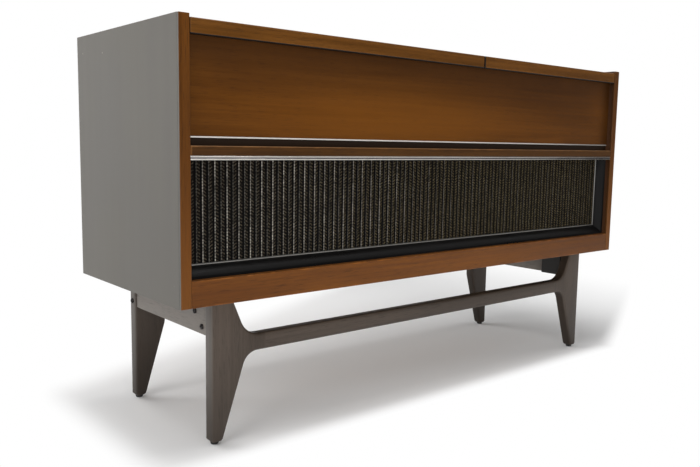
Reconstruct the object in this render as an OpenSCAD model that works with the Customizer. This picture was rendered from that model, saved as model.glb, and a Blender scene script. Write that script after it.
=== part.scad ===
// Stereo console: a low cabinet on an open leg frame, with two lids over a
// tape deck and tuner (left bay) and a record changer (right bay).
// Millimetres, +Z up, X across the front, front towards -Y.
// Origin on the floor under the centre of the cabinet.

/* [Cabinet] */
// Width over the side panels
cabinet_w = 1400; // [1340:10:1600]
// Depth over the side panels
cabinet_d = 470; // [450:5:560]
// Height of the side panels
cabinet_h = 520; // [510:5:620]
// Floor to the underside of the cabinet
underside_h = 290; // [275:5:360]
// Thickness of the side panels
side_t = 22; // [18:1:28]
// Thickness of the walnut lipping on the side panels' front edges
lipping_t = 6; // [3:1:10]
// Thickness of the bottom panel
bottom_t = 18; // [12:1:22]
// Thickness of the divider between the two bays
divider_t = 18; // [14:1:22]
// Thickness of the back panel
back_t = 4; // [3:0.5:8]
// Back panel set in from the cabinet's rear edges
back_inset = 6; // [3:1:12]
// Width of the rabbet that takes the back panel's edges
rabbet_w = 10; // [8:1:14]
// Diameter of the back panel's screw heads
back_screw_head_d = 8; // [6:0.5:9]
// Diameter of the back panel's screw shanks
back_screw_d = 3.5; // [2.5:0.5:4.5]
// Length of the back panel's screws under the head
back_screw_l = 16; // [12:1:24]
// Length of one vent slot in the back panel
vent_l = 90; // [60:5:120]
// Width of one vent slot
vent_w = 8; // [5:1:12]
// Distance between vent slots
vent_pitch = 22; // [18:1:30]
// Outermost back screws from the back panel's ends
back_screw_inset = 30; // [20:1:50]
// Diameter of the cord outlet in the back panel
outlet_d = 16; // [10:1:24]
// Cord outlet's height over the bottom panel
outlet_h = 40; // [24:1:60]

/* [Front] */
// Height of the bottom rail
bottom_rail_h = 50; // [44:1:70]
// Thickness of the bottom rail
bottom_rail_t = 22; // [18:1:34]
// Height of the grille opening
grille_h = 217; // [200:1:235]
// Height of the middle rail with its trim
mid_rail_h = 26; // [22:1:32]
// Height of the double metal trim under the middle rail
trim_h = 8; // [6:0.5:12]
// Depth of the double metal trim
trim_d = 6; // [4:0.5:10]
// Height of the dark reveal over the middle rail
reveal_h = 14; // [10:1:20]
// Height of the metal strip under the upper front panel
strip_h = 3; // [2:0.5:5]
// Upper front panel set back from the front
panel_recess = 15; // [14:1:19]
// Thickness of the upper front panel
panel_t = 16; // [12:1:20]
// Black reveal at the panel's foot set back from the panel's face
reveal_step = 2; // [1:0.5:4]
// Depth of the metal strip's seat in the panel
strip_d = 5; // [3:0.5:8]
// Speaker baffle's front face set back from the front
grille_depth = 40; // [38:1:50]
// Thickness of the speaker baffle
baffle_t = 15; // [10:1:20]
// Grille frame's outer edge set back from the front
bevel_start = 14; // [8:1:20]
// Width of the grille frame's bottom member
bevel_w = 22; // [16:1:30]
// Width of the grille frame's uprights
upright_w = 15; // [12:1:24]
// Height of the grille frame's inner edge over the baffle
bevel_edge = 3; // [2:0.5:5]
// Bulge of the grille frame's face over a straight bevel
bevel_bulge = 3; // [1:0.5:4]
// Width of the metal bead round the cloth
bead_w = 3; // [2:0.5:5]
// Height of the metal bead over the cloth
bead_h = 3.5; // [2.5:0.5:5]
// Thickness of the grille cloth
cloth_t = 1; // [0.6:0.1:1.5]

/* [Lids] */
// Thickness of the lids
lid_t = 19; // [16:1:24]
// Lids' top surface below the side panels' top edges
lid_drop = 6; // [6:0.5:10]
// Height of the lids' front edge
lid_lip_h = 28; // [26:1:36]
// Thickness of the lids' front edge
lid_lip_t = 12; // [8:1:13]
// Chamfer of the lids' front edge
lid_ease = 1.5; // [0.5:0.5:3]
// Gap between a lid and its side panel
lid_gap = 1.5; // [1:0.1:3]
// Place of the split between the lids, from the tuner panel's edge
lid_split = 31; // [20:1:60]
// Gap between the lids
lid_split_gap = 2.5; // [1.5:0.1:4]
// Depth of the fixed rear top rail
rear_rail_d = 70; // [60:1:90]

/* [Hinges and stays] */
// Width of one lid hinge
hinge_w = 60; // [40:5:80]
// Height of a hinge leaf
leaf_h = 15; // [10:1:15]
// Thickness of a hinge leaf
leaf_t = 1.2; // [0.8:0.1:1.3]
// Gap between hinge knuckles
knuckle_gap = 0.3; // [0.2:0.05:0.5]
// Diameter of the hinge barrel
barrel_d = 5.6; // [5:0.2:5.8]
// Diameter of the hinge pin
hinge_pin_d = 3; // [2.4:0.2:3.4]
// Seam between the lids and the rear rail
hinge_seam = 3.2; // [3:0.1:4]
// Hinge axis over the lids' top surface
hinge_rise = 2.8; // [2.8:0.1:3.1]
// Distance of the outer hinges from the lid's ends
hinge_inset = 70; // [50:5:120]
// Radius of the quadrant stays
stay_r = 130; // [115:1:135]
// Width of the quadrant stays
stay_w = 15; // [12:1:18]
// Thickness of the quadrant stays
stay_t = 2.5; // [1.5:0.5:3]
// Width of the slot in the quadrant stays
stay_slot = 5; // [4:0.5:6]
// Length of the stays' mounting tab
stay_tab_l = 40; // [30:1:50]
// Width of the stays' foot under the lid
stay_foot_w = 14; // [10:1:20]
// Stays set off from the side panels
stay_gap = 3; // [2.5:0.5:5]
// Guide screw heads below the stays' foot
stay_drop = 3.5; // [2:0.5:6]
// Diameter of the stays' guide screw heads
guide_head_d = 10; // [9:0.5:12]
// Height of the stays' guide screw heads
guide_head_h = 2.5; // [1.5:0.5:4]
// Opening angle of the lids
lid_open = 75; // [60:1:76]

/* [Bays] */
// Depth of the bays under the lids
bay_depth = 133; // [128:1:140]
// Thickness of the deck boards
deck_t = 12; // [9:1:16]
// Tape deck and tuner set in from the bay's walls
deck_inset = 22; // [18:1:28]
// Gap between the tape deck and the tuner
deck_gap = 15; // [8:1:24]
// Decks set back from the upper front panel
deck_back = 22; // [16:1:40]

/* [Tape deck] */
// Width of the tape deck plate
tape_w = 384; // [378:1:400]
// Depth of the tape deck plate
tape_d = 330; // [310:1:340]
// Thickness of the tape deck plate
tape_t = 5; // [4:0.5:8]
// Corner radius of the deck plates
plate_r = 12; // [6:1:16]
// Diameter of the tape reels
reel_d = 178; // [160:1:184]
// Distance between the reels' axes
reel_pitch = 188; // [186:1:196]
// Reels' axes from the plate's rear edge
reel_rear = 98; // [94:1:104]
// Diameter of a reel's hub
reel_hub_d = 60; // [50:1:70]
// Thickness of a reel's flange
flange_t = 1.5; // [1:0.1:2]
// Height between the reel's flanges
reel_gap = 6.5; // [6:0.1:8]
// Solid rim of a reel's flange outside its windows
flange_rim = 11; // [8:0.5:14]
// Solid ring of a reel's flange round its hub
hub_rim = 8; // [5:0.5:10]
// Diameter of a reel's locking cap
reel_cap_d = 20; // [16:1:24]
// Height of a reel's locking cap
reel_cap_h = 7; // [4:0.5:10]
// Width of the ribs on a reel's hub
reel_rib_w = 4; // [3:0.5:6]
// Reach of the ribs on a reel's hub
reel_rib_l = 17; // [14:0.5:22]
// Diameter of the reel tables
reel_table_d = 66; // [56:1:76]
// Height of the reel tables
reel_table_h = 4; // [3:0.5:6]
// Diameter of the reel shafts
reel_shaft_d = 7; // [6:0.5:9]
// Diameter of the tape on the supply reel
tape_full_d = 150; // [110:1:156]
// Diameter of the tape on the take-up reel
tape_low_d = 84; // [74:1:150]
// Width of the head cover
head_w = 168; // [140:1:190]
// Depth of the head cover
head_d = 44; // [36:1:48]
// Height of the head cover
head_h = 28; // [22:1:36]
// Corner radius of the head cover
head_r = 8; // [4:1:12]
// Head cover behind the transport keys
head_gap = 12; // [6:1:14]
// Width of the tape slot in the head cover
tape_slot_w = 6; // [5:0.5:8]
// Tape slot from the head cover's rear face
tape_slot_back = 8; // [6:0.5:12]
// Width of a transport key
key_w = 36; // [28:1:38]
// Depth of a transport key
key_d = 34; // [28:1:38]
// Height of a transport key
key_h = 12; // [9:1:15]
// Distance between transport keys
key_pitch = 40; // [39:1:44]
// Transport keys from the deck plate's front edge
key_front = 12; // [8:1:16]
// Room left under a pressed transport key
key_rest = 1; // [0.5:0.5:2]
// Travel of a transport key
key_travel = 5; // [3:0.5:6]
// Width of a key's stem
key_stem_w = 16; // [12:1:20]
// Depth of a key's stem
key_stem_d = 6; // [5:0.5:9]

/* [Tuner] */
// Width of the tuner panel
tuner_w = 330; // [324:1:340]
// Depth of the tuner panel
tuner_d = 330; // [310:1:340]
// Thickness of the tuner panel
tuner_t = 12; // [11:0.5:16]
// Width of the dial window
dial_w = 276; // [240:1:290]
// Depth of the dial window
dial_d = 84; // [60:1:100]
// Thickness of the dial glass
glass_t = 3; // [2:0.5:4]
// Ledge that carries the dial glass
glass_ledge = 5; // [3:0.5:8]
// Height of the dial well under the glass
dial_well = 5; // [4:0.5:6]
// Dial window from the panel's rear edge
dial_rear = 44; // [30:1:60]
// Width of the dial pointer
pointer_w = 3; // [2:0.5:5]
// Thickness of the dial pointer
pointer_t = 1.9; // [1:0.1:2.2]
// Width of the dial pointer's foot
pointer_foot_w = 18; // [10:1:24]
// Depth of the dial pointer's foot
pointer_foot_d = 7.7; // [5:0.1:10]
// Diameter of the tuning knob
tuning_d = 50; // [40:1:56]
// Diameter of the small knobs
knob_d = 38; // [30:1:44]
// Height of the knobs
knob_h = 20; // [15:1:26]
// Height of the skirt at a knob's foot
knob_skirt_h = 4; // [3:0.5:6]
// Step in from a knob's skirt to its grip
knob_step = 3; // [2:0.5:4]
// Rounding of a knob's top edge
knob_ease = 1.5; // [1:0.5:3]
// Width of the mark on a knob
mark_w = 1.6; // [1:0.2:3]
// Length of the mark on a knob
mark_l = 8; // [5:0.5:10]
// Diameter of the knob shafts
knob_shaft_d = 6; // [5:0.5:8]
// Distance between the knobs
knob_pitch = 76; // [62:1:80]
// Knobs' axes from the panel's front edge
knob_front = 84; // [60:1:110]

/* [Record changer] */
// Width of the changer's base plate
changer_w = 400; // [385:1:420]
// Depth of the changer's base plate
changer_d = 330; // [320:1:340]
// Thickness of the changer's base plate
changer_t = 9; // [7:0.5:12]
// Changer set in from the bay divider
changer_inset = 20; // [10:1:50]
// Diameter of the platter
platter_d = 280; // [250:1:296]
// Height of the platter
platter_h = 18; // [14:1:24]
// Platter's axis from the base plate's left edge
platter_x = 164; // [156:1:172]
// Width of the platter's raised edge
platter_lip = 6; // [4:0.5:10]
// Rounding of the platter's edges
platter_ease = 2; // [1:0.5:3]
// Depth of the platter's mat bed
platter_bed = 1.5; // [1:0.1:2.5]
// Diameter of the platter's raised middle
label_d = 100; // [80:1:110]
// Diameter of the centre spindle
spindle_d = 7.2; // [6:0.1:8]
// Height of the spindle over the platter
spindle_h = 62; // [40:1:70]
// Taper at the spindle's tip
spindle_tip = 2; // [1:0.5:2.5]
// Tone arm's pivot from the base plate's right edge
arm_right = 46; // [42:1:54]
// Tone arm's pivot from the base plate's rear edge
arm_rear = 62; // [52:1:72]
// Length of the tone arm from pivot to stylus
arm_l = 228; // [222:1:234]
// Tone arm's axis over the platter
arm_rise = 20; // [18:0.5:24]
// Diameter of the tone arm tube
arm_tube_d = 9; // [7:0.5:11]
// Length of the tone arm's head
arm_head_l = 36; // [30:1:44]
// Width of the tone arm's head
arm_head_w = 18; // [14:1:22]
// Width of the tone arm's pivot block
arm_block_w = 16; // [13:1:18]
// Height of the tone arm's pivot block
arm_block_h = 12; // [10:1:13]
// Counterweight behind the tone arm's pivot
weight_back = 30; // [28:1:36]
// Diameter of the counterweight
weight_d = 22; // [18:1:24]
// Length of the counterweight
weight_l = 26; // [18:1:30]
// Diameter of the tone arm's pivot housing
yoke_d = 44; // [40:1:50]
// Housing's top below the tone arm's axis
yoke_drop = 12; // [11:0.5:13]
// Half the width over the housing's fork
yoke_arm = 16; // [15:0.5:18]
// Thickness of the fork's cheeks
fork_t = 4; // [3:0.5:5]
// Depth of the fork's cheeks
fork_w = 16; // [12:1:20]
// Fork's top over the tone arm's axis
fork_rise = 8; // [6:0.5:10]
// Diameter of the arm rest's post
rest_d = 12; // [10:0.5:16]
// Thickness of the arm rest's stop
rest_t = 4; // [3:0.5:6]
// Arm rest's distance in front of the pivot
rest_l = 141; // [120:1:160]
// Diameter of the tone arm's vertical bearing shaft
yoke_shaft_d = 10; // [8:0.5:14]
// Diameter of the tone arm's cross pivot
arm_pivot_d = 4; // [3:0.5:5]
// Diameter of the changer's control knob
changer_knob_d = 34; // [28:1:38]
// Height of the changer's control knob
changer_knob_h = 16; // [12:1:22]
// Control knob's axis from the base plate's front and left edges
changer_knob_inset = 30; // [26:1:34]

/* [Speakers and works] */
// Outside diameter of the woofers
woofer_d = 166; // [150:1:180]
// Diameter of the woofer cut-outs
woofer_hole_d = 137; // [120:1:138]
// Woofers' axes from the centre
woofer_x = 470; // [400:5:520]
// Tweeters' axes from the centre
tweeter_x = 300; // [250:5:330]
// Outside diameter of the tweeters
tweeter_d = 76; // [66:1:90]
// Diameter of the tweeter cut-outs
tweeter_hole_d = 58; // [46:1:60]
// Thickness of the speakers' rims
speaker_rim = 4; // [3:0.5:6]
// Depth of the woofers
woofer_depth = 70; // [60:1:90]
// Diameter of the woofers' magnets
magnet_d = 100; // [84:1:110]
// Height of the woofers' magnets
magnet_h = 24; // [18:1:30]
// Diameter of the woofers' voice coil bore
coil_d = 40; // [34:1:46]
// Depth of the woofers' voice coil bore
coil_h = 6; // [4:0.5:8]
// Thickness of the woofers' paper cones
paper_t = 2; // [1.5:0.1:2.2]
// Depth of the tweeters
tweeter_depth = 26; // [22:1:34]
// Width of the receiver chassis
chassis_w = 290; // [240:5:310]
// Depth of the receiver chassis
chassis_d = 190; // [150:5:210]
// Height of the receiver chassis
chassis_h = 56; // [40:1:70]
// Sheet thickness of the receiver chassis
chassis_t = 2; // [1:0.5:3]
// Receiver chassis behind the speaker baffle
chassis_back = 30; // [20:1:40]
// Width of the mains transformer
transformer_w = 72; // [60:1:80]
// Depth of the mains transformer
transformer_d = 62; // [50:1:70]
// Height of the mains transformer
transformer_h = 52; // [40:1:60]
// Mains transformer below the deck board
transformer_drop = 8; // [4:1:12]
// Mains transformer from the chassis's end
transformer_inset = 4; // [2:1:8]
// Distance between the valves
tube_pitch = 46; // [36:1:50]
// First valve from the chassis's end
tube_inset = 26; // [20:1:32]
// Height of a valve's socket
tube_base_h = 8; // [5:1:12]
// Diameter of the valves
tube_d = 22; // [16:1:28]
// Length of the valves
tube_l = 56; // [40:1:70]
// Diameter of the drive motors
motor_d = 86; // [60:1:100]
// Height of the drive motors
motor_h = 52; // [40:1:60]
// Drive motors behind the axes that they drive
motor_back = 55; // [40:1:70]

/* [Leg frame] */
// Legs' outer edges set in from the cabinet's sides
leg_inset = 86; // [60:1:120]
// Front legs set back from the front
leg_front = 42; // [30:1:60]
// Thickness of the front leg frame
leg_t = 29; // [24:1:36]
// Width of a leg at the top
leg_top_w = 46; // [40:1:60]
// Width of a leg at the foot
leg_foot_w = 25; // [23:1:34]
// Underside of the stretcher over the floor
stretcher_z = 176; // [150:1:186]
// Height of the stretcher
stretcher_h = 34; // [28:1:40]
// Front leg's width where the stretcher meets it
leg_ear = 122; // [118:1:150]
// Front leg's width at the stretcher, before the radii
leg_mid_w = 80; // [72:1:84]
// Chamfer at the legs' feet
foot_ease = 4; // [2:0.5:6]
// Radius between a front leg and the stretcher's top
fillet_up = 46; // [30:1:50]
// Radius between a front leg and the stretcher's underside
fillet_low = 34; // [20:1:40]
// Rear legs set in from the back
rear_leg_back = 54; // [30:1:80]
// Thickness of the rear legs
rear_leg_t = 28; // [24:1:36]
// Width of a rear leg at the top
rear_leg_w = 74; // [60:1:84]
// Height where a rear leg starts to taper
rear_knee_z = 172; // [150:1:190]
// Aprons' outer faces set in from the legs' outer edges
apron_inset = 4; // [2:1:10]
// Height of the side aprons
apron_h = 75; // [68:1:84]
// Thickness of the side aprons
apron_t = 20; // [16:1:26]
// Length of the front corner blocks
block_l = 62; // [56:1:70]
// Corner blocks' underside over the aprons' lower edge
block_rise = 3; // [1:0.5:6]
// Thickness of the corner blocks
block_t = 34; // [30:1:44]
// Frame bolts from the front corner blocks' ends
bolt_edge = 17; // [14:0.5:20]
// Lower frame bolts over the blocks' underside
bolt_low = 12; // [10:0.5:18]
// Upper frame bolts below the cabinet
bolt_high = 33; // [20:1:40]
// Rear frame bolts below the cabinet
rear_bolt_drop = 62; // [40:1:64]
// Grip of the frame bolts in the corner blocks
bolt_grip = 25; // [20:1:28]
// Diameter of the frame bolts' heads
bolt_head_d = 11; // [9:0.5:14]
// Height of the frame bolts' heads
bolt_head_h = 3; // [2:0.5:4]
// Diameter of the frame bolts
bolt_d = 6; // [5:0.5:8]
// Diameter of the foot glides
glide_d = 18; // [14:1:20]
// Height of the foot glides
glide_h = 6; // [4:0.5:8]

/* [Fits] */
// Radial clearance of turning shafts in their bores
run_clear = 0.05; // [0.02:0.01:0.09]
// Clearance of sliding and loose pieces
slide_clear = 0.3; // [0.2:0.05:0.4]
// Room round shafts where they pass through a deck board
shaft_room = 3; // [2:0.5:4]
// Clearance of bolts and screws in their holes
bolt_clear = 0.2; // [0.1:0.05:0.3]

/* [Hidden] */
$fn = 64;
front = -cabinet_d / 2;
back = cabinet_d / 2;
z_top = underside_h + cabinet_h;
in_x = cabinet_w / 2 - side_t;
lid_top = z_top - lid_drop;
lid_under = lid_top - lid_t;
back_y1 = back - back_inset;
back_y0 = back_y1 - back_t;
floor_z = underside_h + bottom_t;
rail_top = underside_h + bottom_rail_h;
mid_z0 = rail_top + grille_h;
mid_z1 = mid_z0 + mid_rail_h;
strip_z = mid_z1 + reveal_h;
panel_z = strip_z + strip_h;
panel_y0 = front + panel_recess;
panel_y1 = panel_y0 + panel_t;
baffle_y0 = front + grille_depth;
baffle_y1 = baffle_y0 + baffle_t;
deck_top = lid_under - bay_depth;
deck_under = deck_top - deck_t;
tape_x = -in_x + deck_inset;
tape_cx = tape_x + tape_w / 2;
tuner_x = tape_x + tape_w + deck_gap;
split_x = tuner_x + tuner_w + lid_split;
div_x0 = split_x - divider_t / 2;
div_x1 = split_x + divider_t / 2;
hinge_y = back - rear_rail_d - hinge_seam / 2;
hinge_z = lid_top + hinge_rise;
rail_y0 = hinge_y + hinge_seam / 2;
lid_y1 = hinge_y - hinge_seam / 2;
lid_l0 = -in_x + lid_gap;
lid_l1 = split_x - lid_split_gap / 2;
lid_r0 = split_x + lid_split_gap / 2;
lid_r1 = in_x - lid_gap;
left_hinges = [lid_l0 + hinge_inset, (lid_l0 + lid_l1) / 2, lid_l1 - hinge_inset];
right_hinges = [lid_r0 + hinge_inset, lid_r1 - hinge_inset];
knuckle_w = hinge_w / 5;
stay_b0 = hinge_z - lid_under;
stay_pin_a = asin((stay_b0 + stay_t + guide_head_d / 2 + stay_drop) / stay_r);
stay_tab_x = stay_r - stay_tab_l * 0.6;
stay_end_a = 4;
deck_y = panel_y1 + deck_back;
tape_top = deck_top + tape_t;
reel_y = deck_y + tape_d - reel_rear;
reel_z = tape_top + slide_clear;
key_y = deck_y + key_front;
key_z = tape_top + key_travel + key_rest;
head_y = key_y + key_d + head_gap;
tuner_cx = tuner_x + tuner_w / 2;
tuner_top = deck_top + tuner_t;
dial_y1 = deck_y + tuner_d - dial_rear;
dial_y0 = dial_y1 - dial_d;
well_z = tuner_top - glass_t - dial_well;
knob_y = deck_y + knob_front;
changer_x = div_x1 + changer_inset;
changer_top = deck_top + changer_t;
platter_cx = changer_x + platter_x;
platter_cy = deck_y + changer_d / 2;
platter_z = changer_top + slide_clear;
platter_top = platter_z + platter_h;
arm_x = changer_x + changer_w - arm_right;
arm_y = deck_y + changer_d - arm_rear;
arm_z = platter_top + arm_rise;
grille_cz = (rail_top + mid_z0) / 2;
leg_x = cabinet_w / 2 - leg_inset;
leg_y0 = front + leg_front;
leg_y1 = leg_y0 + leg_t;
rear_leg_y1 = back - rear_leg_back;
rear_leg_y0 = rear_leg_y1 - rear_leg_t;
stretcher_top = stretcher_z + stretcher_h;
apron_x = leg_x - apron_inset;
apron_z = underside_h - apron_h;
block_z = apron_z + block_rise;
apron_bolts = [[leg_y1 + bolt_edge, block_z + bolt_low], [leg_y1 + block_l - bolt_edge, underside_h - bolt_high]];
rear_bolt_y = (rear_leg_y0 + rear_leg_y1) / 2;
rear_bolt_z = underside_h - rear_bolt_drop;
walnut = [0.44, 0.26, 0.14];
grey_wood = [0.48, 0.47, 0.45];
leg_wood = [0.38, 0.34, 0.30];
black = [0.07, 0.07, 0.07];
metal = [0.75, 0.75, 0.74];
dark_metal = [0.25, 0.25, 0.26];
cream = [0.85, 0.82, 0.74];
brass = [0.72, 0.58, 0.30];

// A box between two corners.
module box(a, b) translate(a) cube(b - a);

// A rectangle from the origin with its corners rounded.
module round_rect(w, d, r) {
  translate([r, 0]) square([w - 2 * r, d]);
  translate([0, r]) square([w, d - 2 * r]);
  for (x = [r, w - r], y = [r, d - r]) translate([x, y]) circle(r);
}

// Left child and its mirror image.
module both() { children(); mirror([1, 0, 0]) children(); }

// Local Z to world +Y, for round pieces on the upright baffle.
module to_back(p) translate(p) rotate([-90, 0, 0]) children();

// Local X to the front, local Y down and local Z to +X, round the lids' hinge axis.
module on_axis(x) multmatrix([[0, 0, 1, x], [-1, 0, 0, hinge_y], [0, -1, 0, hinge_z], [0, 0, 0, 1]]) children();

// Points of an arc of radius r that rounds corner q between p and s.
function unit(v) = v / norm(v);
function fillet(p, q, s, r, n = 10) =
  let (d1 = unit(p - q), d2 = unit(s - q), half = acos(d1 * d2) / 2,
       c = q + unit(d1 + d2) * r / sin(half), t = r / tan(half),
       a = q + d1 * t - c, b = q + d2 * t - c,
       a0 = atan2(a[1], a[0]), turn = atan2(a[0] * b[1] - a[1] * b[0], a * b))
  [for (i = [0:n]) c + r * [cos(a0 + turn * i / n), sin(a0 + turn * i / n)]];

// Cabinet

module side_panel() {
  difference() {
    box([in_x, front + lipping_t, underside_h], [cabinet_w / 2, back, z_top]);
    box([in_x - 1, back_y0, underside_h - 1], [in_x + rabbet_w, back + 1, lid_under]);
    for (z = back_screw_heights) to_back([in_x + rabbet_w / 2, back_y0 - back_screw_l, z])
      cylinder(d = back_screw_d + 2 * bolt_clear, h = back_screw_l + 1);
  }
}
back_screw_heights = [for (i = [0:3]) underside_h + back_screw_inset + i * (lid_under - underside_h - 2 * back_screw_inset) / 3];

module side_panel_left() color(grey_wood) mirror([1, 0, 0]) side_panel();
module side_panel_right() color(grey_wood) side_panel();
module front_lippings() color(walnut) both() box([in_x, front, underside_h], [cabinet_w / 2, front + lipping_t, z_top]);
module bottom_panel() color(walnut) box([-in_x, front + bottom_rail_t, underside_h], [in_x, back_y0, floor_z]);
module bottom_rail() color(walnut) box([-in_x, front, underside_h], [in_x, front + bottom_rail_t, rail_top]);
module mid_rail() color(walnut) difference() {
  box([-in_x, front, mid_z0], [in_x, baffle_y0, mid_z1]);
  box([-in_x - 1, front - 1, mid_z0 - 1], [in_x + 1, front + trim_d, mid_z0 + trim_h]);
}
// The panel stands on the middle rail. Its foot is the black reveal, stepped back under the metal strip's seat.
module upper_front_panel() color(walnut) translate([-in_x, panel_y0, 0]) rotate([90, 0, 90]) linear_extrude(2 * in_x)
  polygon([[reveal_step, mid_z1], [panel_t, mid_z1], [panel_t, lid_under], [0, lid_under], [0, panel_z], [strip_d, panel_z], [strip_d, strip_z], [reveal_step, strip_z]]);
module panel_trim_strip() color(metal) box([-in_x, panel_y0, strip_z], [in_x, panel_y0 + strip_d, panel_z]);

// Two rounded ridges with a dark groove between them, as one extrusion.
module grille_top_trim() color(metal) translate([-in_x, front, mid_z0]) rotate([90, 0, 90]) linear_extrude(2 * in_x) {
  translate([trim_h * 0.25, 0]) square([trim_d - trim_h * 0.25, trim_h]);
  for (z = [0.19, 0.81]) translate([trim_h * 0.19, trim_h * z]) circle(trim_h * 0.19);
  for (z = [0, 0.62]) translate([trim_h * 0.19, trim_h * z]) square([trim_h * 0.2, trim_h * 0.38]);
}

// One member of the frame in the grille opening, between two distances from the
// opening's edge (span), and mitred against the member next to it (ends) at the ends
// given as 1 and square at those given as 0. Its profile is a list of points
// [backwards from the front, share of the span].
module mitred(profile, len, span, ends, near = 1, far = 1) {
  intersection() {
    translate([-len / 2, front, 0]) rotate([90, 0, 90]) linear_extrude(len)
      polygon([for (p = profile) [p[0], span[0] + p[1] * (span[1] - span[0])]]);
    translate([0, front + 2 * grille_depth, 0]) rotate([90, 0, 0]) linear_extrude(3 * grille_depth)
      polygon([[near * ends[0] - len / 2, span[0]], [len / 2 - far * ends[0], span[0]], [len / 2 - far * ends[1], span[1]], [near * ends[1] - len / 2, span[1]]]);
  }
}
// Bottom member and two uprights, which end under the middle rail.
module grille_surround(profile, low, side) {
  translate([0, 0, rail_top]) mitred(profile, 2 * in_x, low, side);
  translate([in_x, 0, grille_cz]) rotate([0, -90, 0]) mitred(profile, grille_h, side, low, 1, 0);
  translate([-in_x, 0, grille_cz]) rotate([0, 90, 0]) mitred(profile, grille_h, side, low, 0, 1);
}
bevel_foot = grille_depth - bevel_edge;
bevel_out = bevel_bulge * unit([bevel_w, bevel_start - bevel_foot]);
bevel_crown = [(bevel_start + bevel_foot) / 2 - bevel_out[0], 0.5 - bevel_out[1] / bevel_w];
module grille_frame() color(black)
  grille_surround([[bevel_start, 0], bevel_crown, [bevel_foot, 1], [grille_depth, 1], [grille_depth, 0]], [0, bevel_w], [0, upright_w]);
bead_foot = grille_depth - cloth_t;
bead_crown = bead_foot - bead_h;
bead_shoulder = bead_crown + bead_h * 0.3;
module grille_bead() color(metal)
  grille_surround([[bead_shoulder, 0], [bead_crown, 0.35], [bead_crown, 0.65], [bead_shoulder, 1], [bead_foot, 1], [bead_foot, 0]], [bevel_w, bevel_w + bead_w], [upright_w, upright_w + bead_w]);
module grille_cloth() color([0.12, 0.11, 0.1]) box([-in_x + upright_w, baffle_y0 - cloth_t, rail_top + bevel_w], [in_x - upright_w, baffle_y0, mid_z0]);

module speaker_baffle() color(black) difference() {
  box([-in_x, baffle_y0, floor_z], [in_x, baffle_y1, deck_under]);
  for (s = [-1, 1]) {
    to_back([s * woofer_x, baffle_y0 - 1, grille_cz]) cylinder(d = woofer_hole_d, h = baffle_t + 2);
    to_back([s * tweeter_x, baffle_y0 - 1, grille_cz]) cylinder(d = tweeter_hole_d, h = baffle_t + 2);
  }
}
woofer_r = woofer_hole_d / 2;
magnet_z = woofer_depth - magnet_h;
cone_z = magnet_z - coil_h;
// Rim, basket and magnet, turned round the axis.
module woofer_frames() color(dark_metal) for (s = [-1, 1]) to_back([s * woofer_x, baffle_y1, grille_cz]) rotate_extrude()
  polygon([[woofer_r, 0], [woofer_d / 2, 0], [woofer_d / 2, speaker_rim], [woofer_r + speaker_rim, speaker_rim],
    [magnet_d / 2 - speaker_rim, magnet_z], [magnet_d / 2, magnet_z], [magnet_d / 2, woofer_depth], [0, woofer_depth],
    [0, magnet_z + coil_h], [coil_d / 2, magnet_z + coil_h], [coil_d / 2, magnet_z],
    [magnet_d / 2 - 2.5 * speaker_rim, magnet_z], [woofer_r, 1.5 * speaker_rim]]);
// Paper cone with its flat surround and domed dust cap.
module woofer_cones() color([0.2, 0.19, 0.18]) for (s = [-1, 1]) to_back([s * woofer_x, baffle_y1, grille_cz]) rotate_extrude()
  polygon([[woofer_r - slide_clear, 0.5 * paper_t], [woofer_r - 4 * paper_t, 0.5 * paper_t],
    [0.6 * coil_d, cone_z - 1.5 * paper_t], [0.3 * coil_d, cone_z - 3.5 * paper_t], [0, cone_z - 4 * paper_t],
    [0, cone_z - 3 * paper_t], [0.3 * coil_d, cone_z - 2.5 * paper_t], [0.55 * coil_d, cone_z],
    [woofer_r - 3.5 * paper_t, 1.5 * paper_t], [woofer_r - slide_clear, 1.5 * paper_t]]);
// Rim and can of a cone tweeter, with its small cone and cap.
module tweeters() color(dark_metal) for (s = [-1, 1]) to_back([s * tweeter_x, baffle_y1, grille_cz]) rotate_extrude()
  polygon([[tweeter_hole_d / 2, 0], [tweeter_d / 2, 0], [tweeter_d / 2, speaker_rim], [tweeter_hole_d / 2 + 0.25 * speaker_rim, speaker_rim],
    [tweeter_hole_d / 2 - 0.5 * speaker_rim, tweeter_depth], [0, tweeter_depth], [0, speaker_rim], [1.5 * speaker_rim, 1.25 * speaker_rim],
    [2.5 * speaker_rim, 2.25 * speaker_rim], [tweeter_hole_d / 2 - speaker_rim, 0.75 * speaker_rim]]);

vent_n = 12;
module back_panel() color([0.36, 0.26, 0.18]) translate([0, back_y1, 0]) rotate([90, 0, 0]) linear_extrude(back_t) difference() {
  translate([-in_x - rabbet_w, underside_h]) square([2 * (in_x + rabbet_w), lid_under - underside_h]);
  for (s = [-1, 1], i = [0:vent_n - 1]) translate([s * woofer_x + (i - (vent_n - 1) / 2) * vent_pitch, grille_cz]) {
    square([vent_w, vent_l - vent_w], center = true);
    for (t = [-1, 1]) translate([0, t * (vent_l - vent_w) / 2]) circle(d = vent_w);
  }
  for (s = [-1, 1], z = back_screw_heights) translate([s * (in_x + rabbet_w / 2), z]) circle(d = back_screw_d + 2 * bolt_clear);
  translate([tuner_cx, floor_z + outlet_h]) circle(d = outlet_d);
}
module back_screws() color(metal) for (s = [-1, 1], z = back_screw_heights) {
  to_back([s * (in_x + rabbet_w / 2), back_y1 - back_screw_l, z]) cylinder(d = back_screw_d, h = back_screw_l);
  to_back([s * (in_x + rabbet_w / 2), back_y1, z]) cylinder(d1 = back_screw_head_d, d2 = back_screw_head_d * 0.6, h = back_screw_head_d / 4);
}
module rear_top_rail() color(walnut) box([-in_x, rail_y0, lid_under], [in_x, back, lid_top]);
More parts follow.
